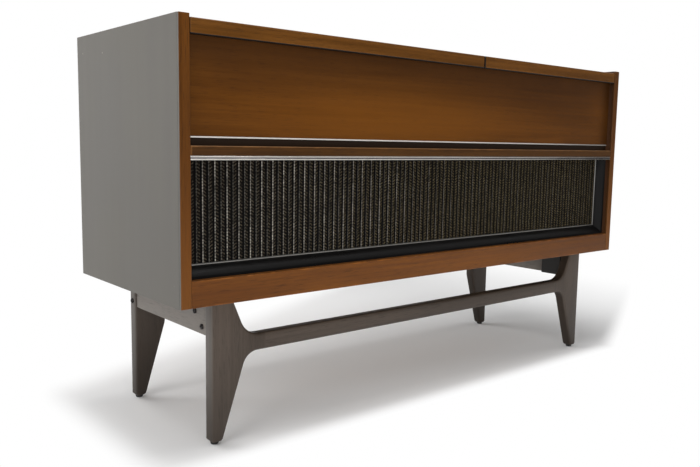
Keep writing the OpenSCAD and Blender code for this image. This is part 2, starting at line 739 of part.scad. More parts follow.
module bay_divider() color(walnut) translate([div_x0, 0, 0]) rotate([90, 0, 90]) linear_extrude(divider_t)
  polygon([[baffle_y1, floor_z], [back_y0, floor_z], [back_y0, lid_under], [panel_y1, lid_under], [panel_y1, deck_under], [baffle_y1, deck_under]]);

module deck_board_left() color(walnut) difference() {
  box([-in_x, panel_y1, deck_under], [div_x0, back_y0, deck_top]);
  for (s = [-1, 1]) translate([tape_cx + s * reel_pitch / 2, reel_y, deck_under - 1]) cylinder(d = reel_shaft_d + 2 * shaft_room, h = deck_t + 2);
  for (i = [0:3]) translate([key_x(i), key_y + key_d / 2, (deck_under + deck_top) / 2]) cube([key_stem_w + shaft_room, key_stem_d + shaft_room, deck_t + 2], center = true);
  for (i = [0:3]) translate([knob_x(i), knob_y, deck_under - 1]) cylinder(d = knob_shaft_d + 2 * shaft_room, h = deck_t + 2);
}
module deck_board_right() color(walnut) difference() {
  box([div_x1, panel_y1, deck_under], [in_x, back_y0, deck_top]);
  translate([arm_x, arm_y, deck_under - 1]) cylinder(d = yoke_shaft_d + 2 * shaft_room, h = deck_t + 2);
  translate([changer_knob_x, changer_knob_y, deck_under - 1]) cylinder(d = knob_shaft_d + 2 * shaft_room, h = deck_t + 2);
}

chassis_y0 = baffle_y1 + chassis_back;
chassis_y1 = chassis_y0 + chassis_d;
chassis_x0 = tuner_cx - chassis_w / 2;
chassis_x1 = tuner_cx + chassis_w / 2;
// Folded sheet chassis, open below, with the mains transformer on its rear wall.
module receiver_chassis() color(metal) {
  difference() {
    box([chassis_x0, chassis_y0, deck_under - chassis_h], [chassis_x1, chassis_y1, deck_under]);
    box([chassis_x0 + chassis_t, chassis_y0 + chassis_t, deck_under - chassis_h - 1], [chassis_x1 - chassis_t, chassis_y1 - chassis_t, deck_under - chassis_t]);
    for (i = [0:3]) translate([knob_x(i), knob_y, deck_under - chassis_t - 1]) cylinder(d = knob_shaft_d + 2 * shaft_room, h = chassis_t + 2);
  }
  translate([chassis_x1 - transformer_inset - transformer_w, chassis_y1, deck_under - transformer_drop - transformer_h])
    cube([transformer_w, transformer_d, transformer_h]);
}
module receiver_tubes() color([0.8, 0.82, 0.82, 0.6]) for (i = [0:3])
  to_back([chassis_x0 + tube_inset + i * tube_pitch, chassis_y1, deck_under - chassis_h / 2]) rotate_extrude()
    polygon([[0, 0], [tube_d * 0.55, 0], [tube_d * 0.55, tube_base_h], [tube_d / 2, tube_base_h], [tube_d / 2, tube_l - tube_d / 3],
      [tube_d / 3, tube_l - tube_d / 8], [tube_d / 10, tube_l], [0, tube_l]]);
module drive_motors() color(dark_metal) {
  translate([tape_cx, reel_y + motor_back, deck_under - motor_h]) cylinder(d = motor_d, h = motor_h);
  translate([platter_cx, platter_cy + motor_back, deck_under - motor_h]) cylinder(d = motor_d, h = motor_h);
}

// Leg frame

// Front leg, drawn from its outer edge inwards; the ear carries the stretcher.
function front_leg_points() = let (
    knee = [leg_mid_w, stretcher_z],
    elbow = [leg_mid_w, stretcher_top])
  concat([[foot_ease, glide_h], [leg_foot_w - foot_ease, glide_h], [leg_foot_w, glide_h + foot_ease]],
    fillet([leg_foot_w, glide_h], knee, [leg_ear, stretcher_z], fillet_low),
    [[leg_ear, stretcher_z], [leg_ear, stretcher_top]],
    fillet([leg_ear, stretcher_top], elbow, [leg_top_w, underside_h], fillet_up),
    [[leg_top_w, underside_h], [0, underside_h], [0, glide_h + foot_ease]]);
module front_leg_frame() color(leg_wood) {
  both() translate([-leg_x, leg_y1, 0]) rotate([90, 0, 0]) linear_extrude(leg_t) polygon(front_leg_points());
  box([-leg_x + leg_ear, leg_y0, stretcher_z], [leg_x - leg_ear, leg_y1, stretcher_top]);
}
module rear_legs() color(leg_wood) both() difference() {
  translate([-leg_x, rear_leg_y1, 0]) rotate([90, 0, 0]) linear_extrude(rear_leg_t)
    polygon([[foot_ease, glide_h], [leg_foot_w - foot_ease, glide_h], [leg_foot_w, glide_h + foot_ease], [rear_leg_w, rear_knee_z], [rear_leg_w, underside_h], [0, underside_h], [0, glide_h + foot_ease]]);
  translate([-leg_x - 1, rear_bolt_y, rear_bolt_z]) rotate([0, 90, 0]) cylinder(d = bolt_d + 2 * bolt_clear, h = rear_leg_w + 2);
}
module side_aprons() color(grey_wood) both() difference() {
  box([-apron_x, leg_y1, apron_z], [-apron_x + apron_t, rear_leg_y0, underside_h]);
  for (b = apron_bolts) translate([-apron_x - 1, b[0], b[1]]) rotate([0, 90, 0]) cylinder(d = bolt_d + 2 * bolt_clear, h = apron_t + 2);
}
module corner_blocks() color(black) both() {
  difference() {
    box([-apron_x + apron_t, leg_y1, block_z], [-apron_x + apron_t + block_t, leg_y1 + block_l, underside_h]);
    for (b = apron_bolts) translate([-apron_x + apron_t - 1, b[0], b[1]]) rotate([0, 90, 0]) cylinder(d = bolt_d + 2 * bolt_clear, h = bolt_grip + 2);
  }
  difference() {
    box([-leg_x + rear_leg_w, rear_leg_y0, block_z], [-leg_x + rear_leg_w + block_t, rear_leg_y1, underside_h]);
    translate([-leg_x + rear_leg_w - 1, rear_bolt_y, rear_bolt_z]) rotate([0, 90, 0]) cylinder(d = bolt_d + 2 * bolt_clear, h = bolt_grip + 2);
  }
}
module frame_bolt(l) rotate([0, 90, 0]) {
  cylinder(d = bolt_d, h = l);
  translate([0, 0, -bolt_head_h]) cylinder(d1 = bolt_head_d * 0.7, d2 = bolt_head_d, h = bolt_head_h);
}
module frame_bolts() color(dark_metal) both() {
  for (b = apron_bolts) translate([-apron_x, b[0], b[1]]) frame_bolt(apron_t + bolt_grip);
  translate([-leg_x, rear_bolt_y, rear_bolt_z]) frame_bolt(rear_leg_w + bolt_grip);
}
module foot_glides() color(black) both() for (y = [(leg_y0 + leg_y1) / 2, rear_bolt_y])
  translate([-leg_x + leg_foot_w / 2, y, 0]) cylinder(d1 = glide_d - glide_h / 2, d2 = glide_d, h = glide_h);

// Lids

module lid(x0, x1) translate([x0, 0, 0]) rotate([90, 0, 90]) linear_extrude(x1 - x0)
  polygon([[front, lid_top - lid_lip_h + lid_ease], [front + lid_ease, lid_top - lid_lip_h], [front + lid_lip_t, lid_top - lid_lip_h], [front + lid_lip_t, lid_under],
    [lid_y1, lid_under], [lid_y1, lid_top], [front + lid_ease, lid_top], [front, lid_top - lid_ease]]);
module lid_left() color(walnut) lid(lid_l0, lid_l1);
module lid_right() color(walnut) lid(lid_r0, lid_r1);

// A hinge leaf with the knuckles whose numbers are given, on side s of the axis (-1 lid, 1 rail).
module leaf(x, s, knuckles) difference() {
  union() {
    leaf_plate(x - hinge_w / 2, x + hinge_w / 2, s, hinge_z - barrel_d / 2 - slide_clear);
    for (k = knuckles) {
      leaf_plate(knuckle_x(x, k), knuckle_x(x, k + 1) - knuckle_gap, s, hinge_z);
      on_axis(knuckle_x(x, k)) cylinder(d = barrel_d, h = knuckle_w - knuckle_gap);
    }
  }
  on_axis(x - hinge_w / 2 - 1) cylinder(d = hinge_pin_d + 2 * run_clear, h = hinge_w + 2);
}
function knuckle_x(x, k) = x - hinge_w / 2 + k * knuckle_w + knuckle_gap / 2;
module leaf_plate(x0, x1, s, top) {
  seat = hinge_y + s * hinge_seam / 2;
  box([x0, min(seat, seat - s * leaf_t), lid_top - leaf_h], [x1, max(seat, seat - s * leaf_t), top]);
}
// The fixed leaves with their pins.
module hinge_leaves_fixed() color(brass) for (x = concat(left_hinges, right_hinges)) {
  leaf(x, 1, [0, 2, 4]);
  on_axis(x - hinge_w / 2) cylinder(d = hinge_pin_d, h = hinge_w);
}
module hinge_leaves_left() color(brass) for (x = left_hinges) leaf(x, -1, [1, 3]);
module hinge_leaves_right() color(brass) for (x = right_hinges) leaf(x, -1, [1, 3]);

// Curved slotted stay, concentric with the hinge axis, with a tab on the lid.
module quadrant_stay() on_axis(in_x - stay_gap - stay_t) {
  difference() {
    union() {
      rotate(stay_pin_a - stay_end_a) rotate_extrude(angle = lid_open + 2 * stay_end_a) translate([stay_r - stay_w / 2, 0]) square([stay_w, stay_t]);
      translate([stay_tab_x, stay_b0, 0]) cube([stay_tab_l, stay_r * sin(stay_pin_a) - stay_b0 - stay_slot, stay_t]);
    }
    rotate(stay_pin_a) translate([0, 0, -1]) rotate_extrude(angle = lid_open) translate([stay_r - stay_slot / 2, 0]) square([stay_slot, stay_t + 2]);
    for (a = [stay_pin_a, stay_pin_a + lid_open]) rotate(a) translate([stay_r, 0, -1]) cylinder(d = stay_slot, h = stay_t + 2);
  }
  translate([stay_tab_x, stay_b0, -stay_foot_w]) cube([stay_tab_l, stay_t, stay_foot_w + stay_t / 2]);
}
module quadrant_stay_left() color(brass) mirror([1, 0, 0]) quadrant_stay();
module quadrant_stay_right() color(brass) quadrant_stay();
module stay_guide_screws() color(brass) both() on_axis(in_x) rotate(stay_pin_a) translate([stay_r, 0, 0]) mirror([0, 0, 1]) {
  cylinder(d = guide_head_d, h = stay_gap - slide_clear);
  cylinder(d = stay_slot - 2 * slide_clear, h = stay_gap + stay_t + 2 * slide_clear);
  translate([0, 0, stay_gap + stay_t + slide_clear]) cylinder(d1 = guide_head_d, d2 = guide_head_d * 0.7, h = guide_head_h);
}

// Tape deck

function key_x(i) = tape_cx + (i - 1.5) * key_pitch;
module tape_deck_plate() color(metal) difference() {
  translate([tape_x, deck_y, deck_top]) linear_extrude(tape_t) round_rect(tape_w, tape_d, plate_r);
  for (s = [-1, 1]) translate([tape_cx + s * reel_pitch / 2, reel_y, deck_top - 1]) cylinder(d = reel_shaft_d + 2 * run_clear, h = tape_t + 2);
  for (i = [0:3]) translate([key_x(i), key_y + key_d / 2, deck_top + tape_t / 2]) cube([key_stem_w + 2 * slide_clear, key_stem_d + 2 * slide_clear, tape_t + 2], center = true);
}
// A reel on its driven table: table with shaft, two windowed flanges on a hub, wound tape.
module reel(s, wound_d) translate([tape_cx + s * reel_pitch / 2, reel_y, reel_z]) {
  translate([0, 0, -tape_t - deck_t]) cylinder(d = reel_shaft_d, h = tape_t + deck_t + reel_table_h);
  cylinder(d = reel_table_d, h = reel_table_h);
  translate([0, 0, reel_table_h]) {
    for (z = [0, flange_t + reel_gap]) translate([0, 0, z]) linear_extrude(flange_t) difference() {
      circle(d = reel_d);
      for (a = [0, 120, 240]) rotate(a + 60) intersection() {
        difference() { circle(d = reel_d - 2 * flange_rim); circle(d = reel_hub_d + 2 * hub_rim); }
        polygon([[0, 0], [reel_d, -reel_d * 0.62], [reel_d, reel_d * 0.62]]);
      }
    }
    cylinder(d = reel_hub_d, h = 2 * flange_t + reel_gap);
    translate([0, 0, flange_t]) cylinder(d = wound_d, h = reel_gap);
    cylinder(d = reel_cap_d, h = 2 * flange_t + reel_gap + reel_cap_h);
    for (a = [0, 120, 240]) rotate(a) translate([0, -reel_rib_w / 2, 2 * flange_t + reel_gap]) cube([reel_rib_l, reel_rib_w, reel_cap_h - 1]);
  }
}
module supply_reel() color([0.75, 0.78, 0.78]) reel(-1, tape_full_d);
module takeup_reel() color([0.75, 0.78, 0.78]) reel(1, tape_low_d);
module head_cover() color(metal) difference() {
  translate([tape_cx - head_w / 2, head_y, tape_top]) linear_extrude(head_h) round_rect(head_w, head_d, head_r);
  translate([tape_cx - head_w / 2 - 1, head_y + head_d - tape_slot_back - tape_slot_w, tape_top + reel_table_h]) cube([head_w + 2, tape_slot_w, head_h]);
}
module key(i) {
  translate([key_x(i) - key_w / 2, key_y, key_z]) rotate([90, 0, 90]) linear_extrude(key_w)
    polygon([[0, 0], [key_d, 0], [key_d, key_h], [key_d * 0.4, key_h], [key_d * 0.06, key_h * 0.62], [0, key_h * 0.5]]);
  translate([key_x(i) - key_stem_w / 2, key_y + key_d / 2 - key_stem_d / 2, deck_under + key_travel + key_rest]) cube([key_stem_w, key_stem_d, key_z - deck_under - key_travel]);
}
module key_rewind() color(cream) key(0);
module key_stop() color(cream) key(1);
module key_play() color(cream) key(2);
module key_record() color([0.6, 0.15, 0.12]) key(3);

// Tuner

function knob_x(i) = tuner_cx + (i - 1.5) * knob_pitch;
module tuner_panel() color(black) difference() {
  translate([tuner_x, deck_y, deck_top]) linear_extrude(tuner_t) round_rect(tuner_w, tuner_d, plate_r);
  box([tuner_cx - dial_w / 2, dial_y0, well_z], [tuner_cx + dial_w / 2, dial_y1, tuner_top + 1]);
  box([tuner_cx - dial_w / 2 - glass_ledge, dial_y0 - glass_ledge, tuner_top - glass_t], [tuner_cx + dial_w / 2 + glass_ledge, dial_y1 + glass_ledge, tuner_top + 1]);
  for (i = [0:3]) translate([knob_x(i), knob_y, deck_top - 1]) cylinder(d = knob_shaft_d + 2 * run_clear, h = tuner_t + 2);
}
module dial_glass() color([0.8, 0.85, 0.85, 0.4]) let (g = glass_ledge - slide_clear)
  box([tuner_cx - dial_w / 2 - g, dial_y0 - g, tuner_top - glass_t], [tuner_cx + dial_w / 2 + g, dial_y1 + g, tuner_top]);
module dial_pointer() color([0.8, 0.2, 0.1]) translate([tuner_cx, dial_y0 + slide_clear, well_z + slide_clear]) {
  translate([-pointer_w / 2, 0, 0]) cube([pointer_w, dial_d - 2 * slide_clear, pointer_t]);
  translate([-pointer_foot_w / 2, 0, 0]) cube([pointer_foot_w, pointer_foot_d, pointer_t * 1.2]);
}
module knob(p, d, h, bottom) translate(p) {
  difference() {
    rotate_extrude() polygon([[0, slide_clear], [d / 2, slide_clear], [d / 2, knob_skirt_h], [d / 2 - knob_step, knob_skirt_h * 1.25],
      [d / 2 - knob_step * 1.3, h - knob_ease], [d / 2 - knob_step * 1.3 - knob_ease, h], [0, h]]);
    translate([-mark_w / 2, d / 2 - knob_step - mark_l, h - mark_w / 2]) cube([mark_w, mark_l + knob_step, mark_w]);
  }
  translate([0, 0, -bottom]) cylinder(d = knob_shaft_d, h = bottom + 1);
}
module volume_knob() color(cream) knob([knob_x(0), knob_y, tuner_top], knob_d, knob_h, tuner_t + deck_t - 1);
module tone_knob() color(cream) knob([knob_x(1), knob_y, tuner_top], knob_d, knob_h, tuner_t + deck_t - 1);
module selector_knob() color(cream) knob([knob_x(2), knob_y, tuner_top], knob_d, knob_h, tuner_t + deck_t - 1);
module tuning_knob() color(cream) knob([knob_x(3), knob_y, tuner_top], tuning_d, knob_h + 3, tuner_t + deck_t - 1);

// Record changer

changer_knob_x = changer_x + changer_knob_inset;
changer_knob_y = deck_y + changer_knob_inset;
rest_y = arm_y - rest_l;
module changer_base() color(cream) {
  difference() {
    translate([changer_x, deck_y, deck_top]) linear_extrude(changer_t) round_rect(changer_w, changer_d, plate_r);
    translate([arm_x, arm_y, deck_top - 1]) cylinder(d = yoke_shaft_d + 2 * run_clear, h = changer_t + 2);
    translate([changer_knob_x, changer_knob_y, deck_top - 1]) cylinder(d = knob_shaft_d + 2 * run_clear, h = changer_t + 2);
    translate([platter_cx, platter_cy, deck_top - 1]) cylinder(d = spindle_d + 2 * bolt_clear, h = changer_t + 2);
  }
  translate([arm_x, rest_y, deck_top]) cylinder(d = rest_d, h = arm_z - arm_tube_d / 2 - slide_clear - deck_top);
  translate([arm_x + arm_tube_d / 2 + slide_clear, rest_y - rest_d / 2, deck_top]) cube([rest_t, rest_d, arm_z + rest_t / 2 - deck_top]);
}
module platter() color(dark_metal) translate([platter_cx, platter_cy, platter_z]) difference() {
  rotate_extrude() polygon([[0, 0], [platter_d / 2 - platter_lip, 0], [platter_d / 2, platter_lip], [platter_d / 2, platter_h - platter_ease],
    [platter_d / 2 - platter_ease, platter_h], [platter_d / 2 - platter_lip, platter_h], [platter_d / 2 - platter_lip, platter_h - platter_bed],
    [label_d / 2, platter_h - platter_bed], [label_d / 2, platter_h - platter_bed / 3], [0, platter_h - platter_bed / 3]]);
  translate([0, 0, -1]) cylinder(d = spindle_d + 2 * run_clear, h = platter_h + 2);
}
module spindle() color(metal) translate([platter_cx, platter_cy, deck_top]) rotate_extrude()
  polygon([[0, 0], [spindle_d / 2, 0], [spindle_d / 2, platter_top + spindle_h - 1.5 * spindle_tip - deck_top], [spindle_d / 2 - spindle_tip, platter_top + spindle_h - deck_top], [0, platter_top + spindle_h - deck_top]]);
// The housing turns on a vertical shaft; its fork carries the arm's cross pivot.
module arm_yoke() color(cream) translate([arm_x, arm_y, 0]) difference() {
  union() {
    translate([0, 0, deck_under + slide_clear]) cylinder(d = yoke_shaft_d, h = changer_top + 2 * slide_clear - deck_under);
    translate([0, 0, changer_top + slide_clear]) cylinder(d = yoke_d, h = arm_z - yoke_drop - changer_top - slide_clear);
    for (s = [-1, 1]) translate([s * (yoke_arm - fork_t / 2) - fork_t / 2, -fork_w / 2, arm_z - yoke_drop - 1]) cube([fork_t, fork_w, yoke_drop + 1 + fork_rise]);
  }
  translate([-yoke_d, 0, arm_z]) rotate([0, 90, 0]) cylinder(d = arm_pivot_d + 2 * run_clear, h = 2 * yoke_d);
}
module tone_arm() color(metal) translate([arm_x, arm_y, arm_z]) {
  rotate([90, 0, 0]) cylinder(d = arm_tube_d, h = arm_l - 0.67 * arm_head_l);
  translate([-arm_block_w / 2, -arm_block_w / 2, -arm_block_h / 2]) cube([arm_block_w, arm_block_w, arm_block_h]);
  translate([-yoke_arm - slide_clear, 0, 0]) rotate([0, 90, 0]) cylinder(d = arm_pivot_d, h = 2 * (yoke_arm + slide_clear));
  rotate([-90, 0, 0]) cylinder(d = arm_tube_d, h = weight_back + weight_l / 2);
  translate([0, weight_back, 0]) rotate([-90, 0, 0]) cylinder(d = weight_d, h = weight_l);
  translate([-arm_head_w / 2, -arm_l - 0.22 * arm_head_l, 0]) rotate([90, 0, 90]) linear_extrude(arm_head_w)
    polygon(arm_head_l * [[0, -0.22], [0.5, -0.36], [1, -0.25], [1, 0.14], [0.28, 0.14], [0, 0]]);
}
module changer_knob() color(cream) knob([changer_knob_x, changer_knob_y, changer_top], changer_knob_d, changer_knob_h, changer_t + deck_t - 1);

side_panel_left();
side_panel_right();
front_lippings();
bottom_panel();
bottom_rail();
mid_rail();
upper_front_panel();
panel_trim_strip();
grille_top_trim();
grille_frame();
grille_bead();
grille_cloth();
speaker_baffle();
woofer_frames();
woofer_cones();
tweeters();
back_panel();
back_screws();
rear_top_rail();
bay_divider();
deck_board_left();
deck_board_right();
receiver_chassis();
receiver_tubes();
drive_motors();
front_leg_frame();
rear_legs();
side_aprons();
corner_blocks();
frame_bolts();
foot_glides();
lid_left();
lid_right();
hinge_leaves_fixed();
hinge_leaves_left();
hinge_leaves_right();
quadrant_stay_left();
quadrant_stay_right();
stay_guide_screws();
tape_deck_plate();
supply_reel();
takeup_reel();
head_cover();
key_rewind();
key_stop();
key_play();
key_record();
tuner_panel();
dial_glass();
dial_pointer();
tuning_knob();
volume_knob();
tone_knob();
selector_knob();
changer_base();
platter();
spindle();
arm_yoke();
tone_arm();
changer_knob();
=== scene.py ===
import math

import bmesh
import bpy
import numpy as np
from mathutils import Matrix, Vector


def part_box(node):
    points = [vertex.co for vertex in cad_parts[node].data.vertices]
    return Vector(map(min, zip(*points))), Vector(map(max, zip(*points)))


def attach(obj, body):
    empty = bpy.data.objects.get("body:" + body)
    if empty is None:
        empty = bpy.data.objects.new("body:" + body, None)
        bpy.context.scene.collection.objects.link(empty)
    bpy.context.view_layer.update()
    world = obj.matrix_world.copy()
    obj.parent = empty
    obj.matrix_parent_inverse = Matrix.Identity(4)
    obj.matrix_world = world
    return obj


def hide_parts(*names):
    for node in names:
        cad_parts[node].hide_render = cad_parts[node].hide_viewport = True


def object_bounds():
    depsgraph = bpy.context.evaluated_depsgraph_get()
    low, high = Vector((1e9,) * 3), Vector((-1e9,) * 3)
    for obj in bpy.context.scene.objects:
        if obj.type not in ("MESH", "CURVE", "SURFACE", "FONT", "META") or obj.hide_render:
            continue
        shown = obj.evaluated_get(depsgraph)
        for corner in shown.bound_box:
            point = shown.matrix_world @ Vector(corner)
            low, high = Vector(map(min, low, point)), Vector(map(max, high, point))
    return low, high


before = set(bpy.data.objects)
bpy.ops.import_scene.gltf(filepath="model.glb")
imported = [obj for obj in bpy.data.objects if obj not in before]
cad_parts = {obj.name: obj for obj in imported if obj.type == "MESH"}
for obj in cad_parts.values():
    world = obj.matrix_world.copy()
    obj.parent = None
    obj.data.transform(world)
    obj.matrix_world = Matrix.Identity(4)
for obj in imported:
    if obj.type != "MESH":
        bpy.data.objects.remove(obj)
cad_low, cad_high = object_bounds()

# Side panels: two upright boards, sprayed grey on their outer faces and stained walnut
# on the rest. Every rail and shelf is glued and dowelled between them, and the grey has
# faint blotches and a few pale chips.
board_edge = 0.0012
grey_skin = 0.0016


def shade(red, green, blue):
    """A colour given in display values from 0 to 255, as the linear values that shaders take."""
    value = np.array([red, green, blue]) / 255
    linear = np.where(value <= 0.04045, value / 12.92, ((value + 0.055) / 1.055) ** 2.4)
    return (*linear.tolist(), 1.0)


def toned(colour, factor, lift=0.0):
    """A colour made darker or paler: its values times a factor, plus a lift, white at most."""
    values = np.minimum(1.0, np.array(colour[:3]) * factor + lift)
    return (*values.tolist(), 1.0)


def finish(name, sockets):
    """A new material with these constant values on its Principled shader."""
    made = bpy.data.materials.new(name)
    made.use_nodes = True
    shader = made.node_tree.nodes["Principled BSDF"]
    for socket, value in sockets.items():
        shader.inputs[socket].default_value = value
    return made


def step(made, kind, inputs, out=0, **settings):
    """Adds one shader node, whose inputs are values or other nodes' outputs, and returns an output."""
    node = made.node_tree.nodes.new("ShaderNode" + kind)
    for key, value in settings.items():
        setattr(node, key, value)
    for socket, value in inputs.items():
        if isinstance(value, bpy.types.NodeSocket):
            made.node_tree.links.new(value, node.inputs[socket])
        else:
            node.inputs[socket].default_value = value
    return node.outputs[out]


def maths(made, operation, *values):
    """One sum on numbers."""
    return step(made, "Math", dict(enumerate(values)), operation=operation)


def times(made, first, *others):
    """The product of numbers."""
    for other in others:
        first = maths(made, "MULTIPLY", first, other)
    return first


def weighed(made, first, share, second):
    """A share of the first number and the rest of the second."""
    return maths(made, "ADD", times(made, first, share), times(made, second, 1 - share))


def spread(made, value, low, high, to_low=0.0, to_high=1.0):
    """Maps the stretch from low to high smoothly onto to_low to to_high, and holds the ends."""
    ends = {"Value": value, "From Min": low, "From Max": high, "To Min": to_low, "To Max": to_high}
    return step(made, "MapRange", ends, interpolation_type="SMOOTHSTEP")


def tint(made, by, first, second):
    """The first colour where by is 0 and the second where by is 1."""
    return step(made, "Mix", {0: by, 6: first, 7: second}, 2, data_type="RGBA")


def where(made, scale, move=(0.0, 0.0, 0.0)):
    """Object coordinates in metres, scaled, alike on each axis if scale is one number, and then moved."""
    at = step(made, "TexCoord", {}, "Object")
    scale = np.broadcast_to(scale, 3).tolist()
    return step(made, "Mapping", {"Vector": at, "Scale": scale, "Location": move})


def axis(made, name, at=None):
    """One coordinate of a point, in metres."""
    at = at or step(made, "TexCoord", {}, "Object")
    return step(made, "SeparateXYZ", {0: at}, name)


def noise(made, at, detail=2.0, twist=0.0):
    """Soft random values about 0.5, one lump to each unit of the coordinates."""
    return step(made, "TexNoise", {"Vector": at, "Scale": 1.0, "Detail": detail, "Distortion": twist})


def dress(made, colour=None, rough=None, height=None, depth=0.0001):
    """Joins a colour, a roughness and a relief of that depth in metres to the shader."""
    relief = None if height is None else step(made, "Bump", {"Height": height, "Distance": depth})
    shader = made.node_tree.nodes["Principled BSDF"]
    for socket, value in (("Base Color", colour), ("Roughness", rough), ("Normal", relief)):
        if value is not None:
            made.node_tree.links.new(value, shader.inputs[socket])
    return made


def timber_colour(made, dark, light, along, move=0.0, upright_past=None):
    """Colour, growth lines and relief of a planed board, as three outputs. A slow noise drawn out along
    the grain gives the broad figure, a finer one the growth lines and a thresholded one the open pores.
    upright_past is the distance from the middle past which the grain turns upright."""
    shift = (move, 0.37 * move, 0.61 * move)

    def drawn_out(across, length):
        level = where(made, [length if name == along else across for name in "XYZ"], shift)
        if upright_past is None:
            return level
        upright = where(made, (across, across, length), shift)
        outside = maths(made, "GREATER_THAN", maths(made, "ABSOLUTE", axis(made, "X")), upright_past)
        return step(made, "Mix", {0: outside, 4: level, 5: upright}, 1, data_type="VECTOR")
    figure = noise(made, drawn_out(13.0, 0.9), 3.0, 0.9)
    lines = noise(made, drawn_out(150.0, 2.6), 3.0, 0.3)
    pores = spread(made, noise(made, drawn_out(900.0, 34.0), 1.0), 0.30, 0.42, 1.0, 0.0)
    colour = tint(made, spread(made, weighed(made, figure, 0.62, lines), 0.33, 0.67), dark, light)
    colour = tint(made, times(made, pores, 0.45), colour, toned(dark, 0.35))
    return colour, lines, maths(made, "SUBTRACT", times(made, lines, 0.4), pores)


def ease(made, radius, segments, angle):
    """Rounds the edges of a piece that are sharper than an angle in degrees."""
    eased = made.modifiers.new("eased", "BEVEL")
    eased.width = radius
    eased.segments = segments
    eased.limit_method = "ANGLE"
    eased.angle_limit = math.radians(angle)
    return eased


def keep(node, look, radius=0.0, segments=3):
    """Shows a CAD node in this finish. With a radius its arrises are eased: the loose triangles are
    welded, those in one plane joined, and edges sharper than 30 degrees rounded."""
    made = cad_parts[node]
    made.material_slots[0].material = look
    if radius:
        made.modifiers.new("weld", "WELD").merge_threshold = 0.00001
        flat = made.modifiers.new("flat", "DECIMATE")
        flat.decimate_type = "DISSOLVE"
        flat.angle_limit = math.radians(0.4)
        ease(made, radius, segments, 30).harden_normals = True


def sprayed_grey(made):
    """Grey spray in blotches and faint streaks with pale chips, as its colour, the blotches and the chips."""
    streaks = noise(made, where(made, (34.0, 34.0, 1.4)), 3.0, 0.4)
    blotches = noise(made, where(made, (5.0, 5.0, 3.0)), 3.0)
    cloud = spread(made, weighed(made, streaks, 0.2, blotches), 0.36, 0.64)
    grey = tint(made, cloud, shade(94, 91, 86), shade(100, 97, 91))
    chips = spread(made, noise(made, where(made, 75.0), 1.0), 0.815, 0.83)
    return tint(made, times(made, chips, 0.7), grey, shade(196, 190, 178)), blotches, chips


def outermost(made, reach, depth):
    """1 on the outer faces of pieces that stand in mirrored pairs: within depth of reach from the middle."""
    return maths(made, "GREATER_THAN", maths(made, "ABSOLUTE", axis(made, "X")), reach - depth)


def sprayed_side():
    """Walnut stain, with the grey spray wherever the surface lies within the panels' outermost skin."""
    made = finish("grey_side", {"Specular IOR Level": 0.3})
    wood = timber_colour(made, shade(46, 28, 16), shade(78, 48, 26), "Z")[0]
    grey, blotches, chips = sprayed_grey(made)
    peel = noise(made, where(made, 620.0), 2.0)
    rough = spread(made, blotches, 0.3, 0.7, 0.46, 0.56)
    colour = tint(made, outermost(made, cad_high[0], grey_skin), wood, grey)
    return dress(made, colour, rough, maths(made, "SUBTRACT", peel, chips), 0.00005)


side_finish = sprayed_side()
for side in ("left", "right"):
    keep("side_panel_" + side, side_finish, board_edge)

# Lippings: a strip of solid walnut glued to the front edge of each side panel, grain
# upright, planed flush and lacquered. The grey spray of the sides covers their outer edges.
def corners(node):
    """Lowest and highest corner of a CAD node, in metres."""
    low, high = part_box(node)
    return np.array(low), np.array(high)


def arris(made, low, high, width):
    """1 on a board's edges, falling to 0 at width from them: at each point the second least of its
    distances from the board's faces. Boards that stand in mirrored pairs are measured on the right."""
    at = step(made, "TexCoord", {}, "Object")
    if low[0] > 0:
        x = maths(made, "ABSOLUTE", axis(made, "X", at))
        at = step(made, "CombineXYZ", {0: x, 1: axis(made, "Y", at), 2: axis(made, "Z", at)})
    off = step(made, "VectorMath", {0: at, 1: (low + high) / 2}, operation="SUBTRACT")
    off = step(made, "VectorMath", {0: off}, operation="ABSOLUTE")
    inside = step(made, "VectorMath", {0: (high - low) / 2, 1: off}, operation="SUBTRACT")
    x, y, z = (axis(made, name, inside) for name in "XYZ")
    nearer = maths(made, "MINIMUM", x, y)
    farther = maths(made, "MAXIMUM", x, y)
    second = maths(made, "MAXIMUM", nearer, maths(made, "MINIMUM", farther, z))
    return spread(made, second, 0.0, width, 1.0, 0.0)


def timber(name, dark, light, along, box=None, gloss=0.42, move=0.0, rubbed=0.5, upright_past=None):
    """Lacquered timber: the board's colour, paler where its arrises are rubbed, with the growth lines in
    the gloss and the pores as fine dents. box is the board's lowest and highest corner."""
    made = finish(name, {"Specular IOR Level": 0.3})
    colour, lines, relief = timber_colour(made, dark, light, along, move, upright_past)
    if box is not None:
        patches = spread(made, noise(made, where(made, 26.0), 3.0), 0.42, 0.66)
        edge = times(made, arris(made, *box, 0.004), patches, rubbed)
        colour = tint(made, edge, colour, toned(light, 2.1, 0.01))
    rough = spread(made, lines, 0.3, 0.7, gloss - 0.05, gloss + 0.08)
    return dress(made, colour, rough, relief, 0.00006)


lipping_low, lipping_high = corners("front_lippings")
right_low = np.array([corners("side_panel_right")[0][0], *lipping_low[1:]])
floor_light_rise = 0.30
inner_skin = 0.0008
spray_skin = 0.0006


def overlaid(made, by, colour):
    """Lays a second colour over a finish's own where by is 1."""
    base = made.node_tree.nodes["Principled BSDF"].inputs["Base Color"]
    own = base.links[0].from_socket
    made.node_tree.links.new(tint(made, by, own, colour), base)
    return made


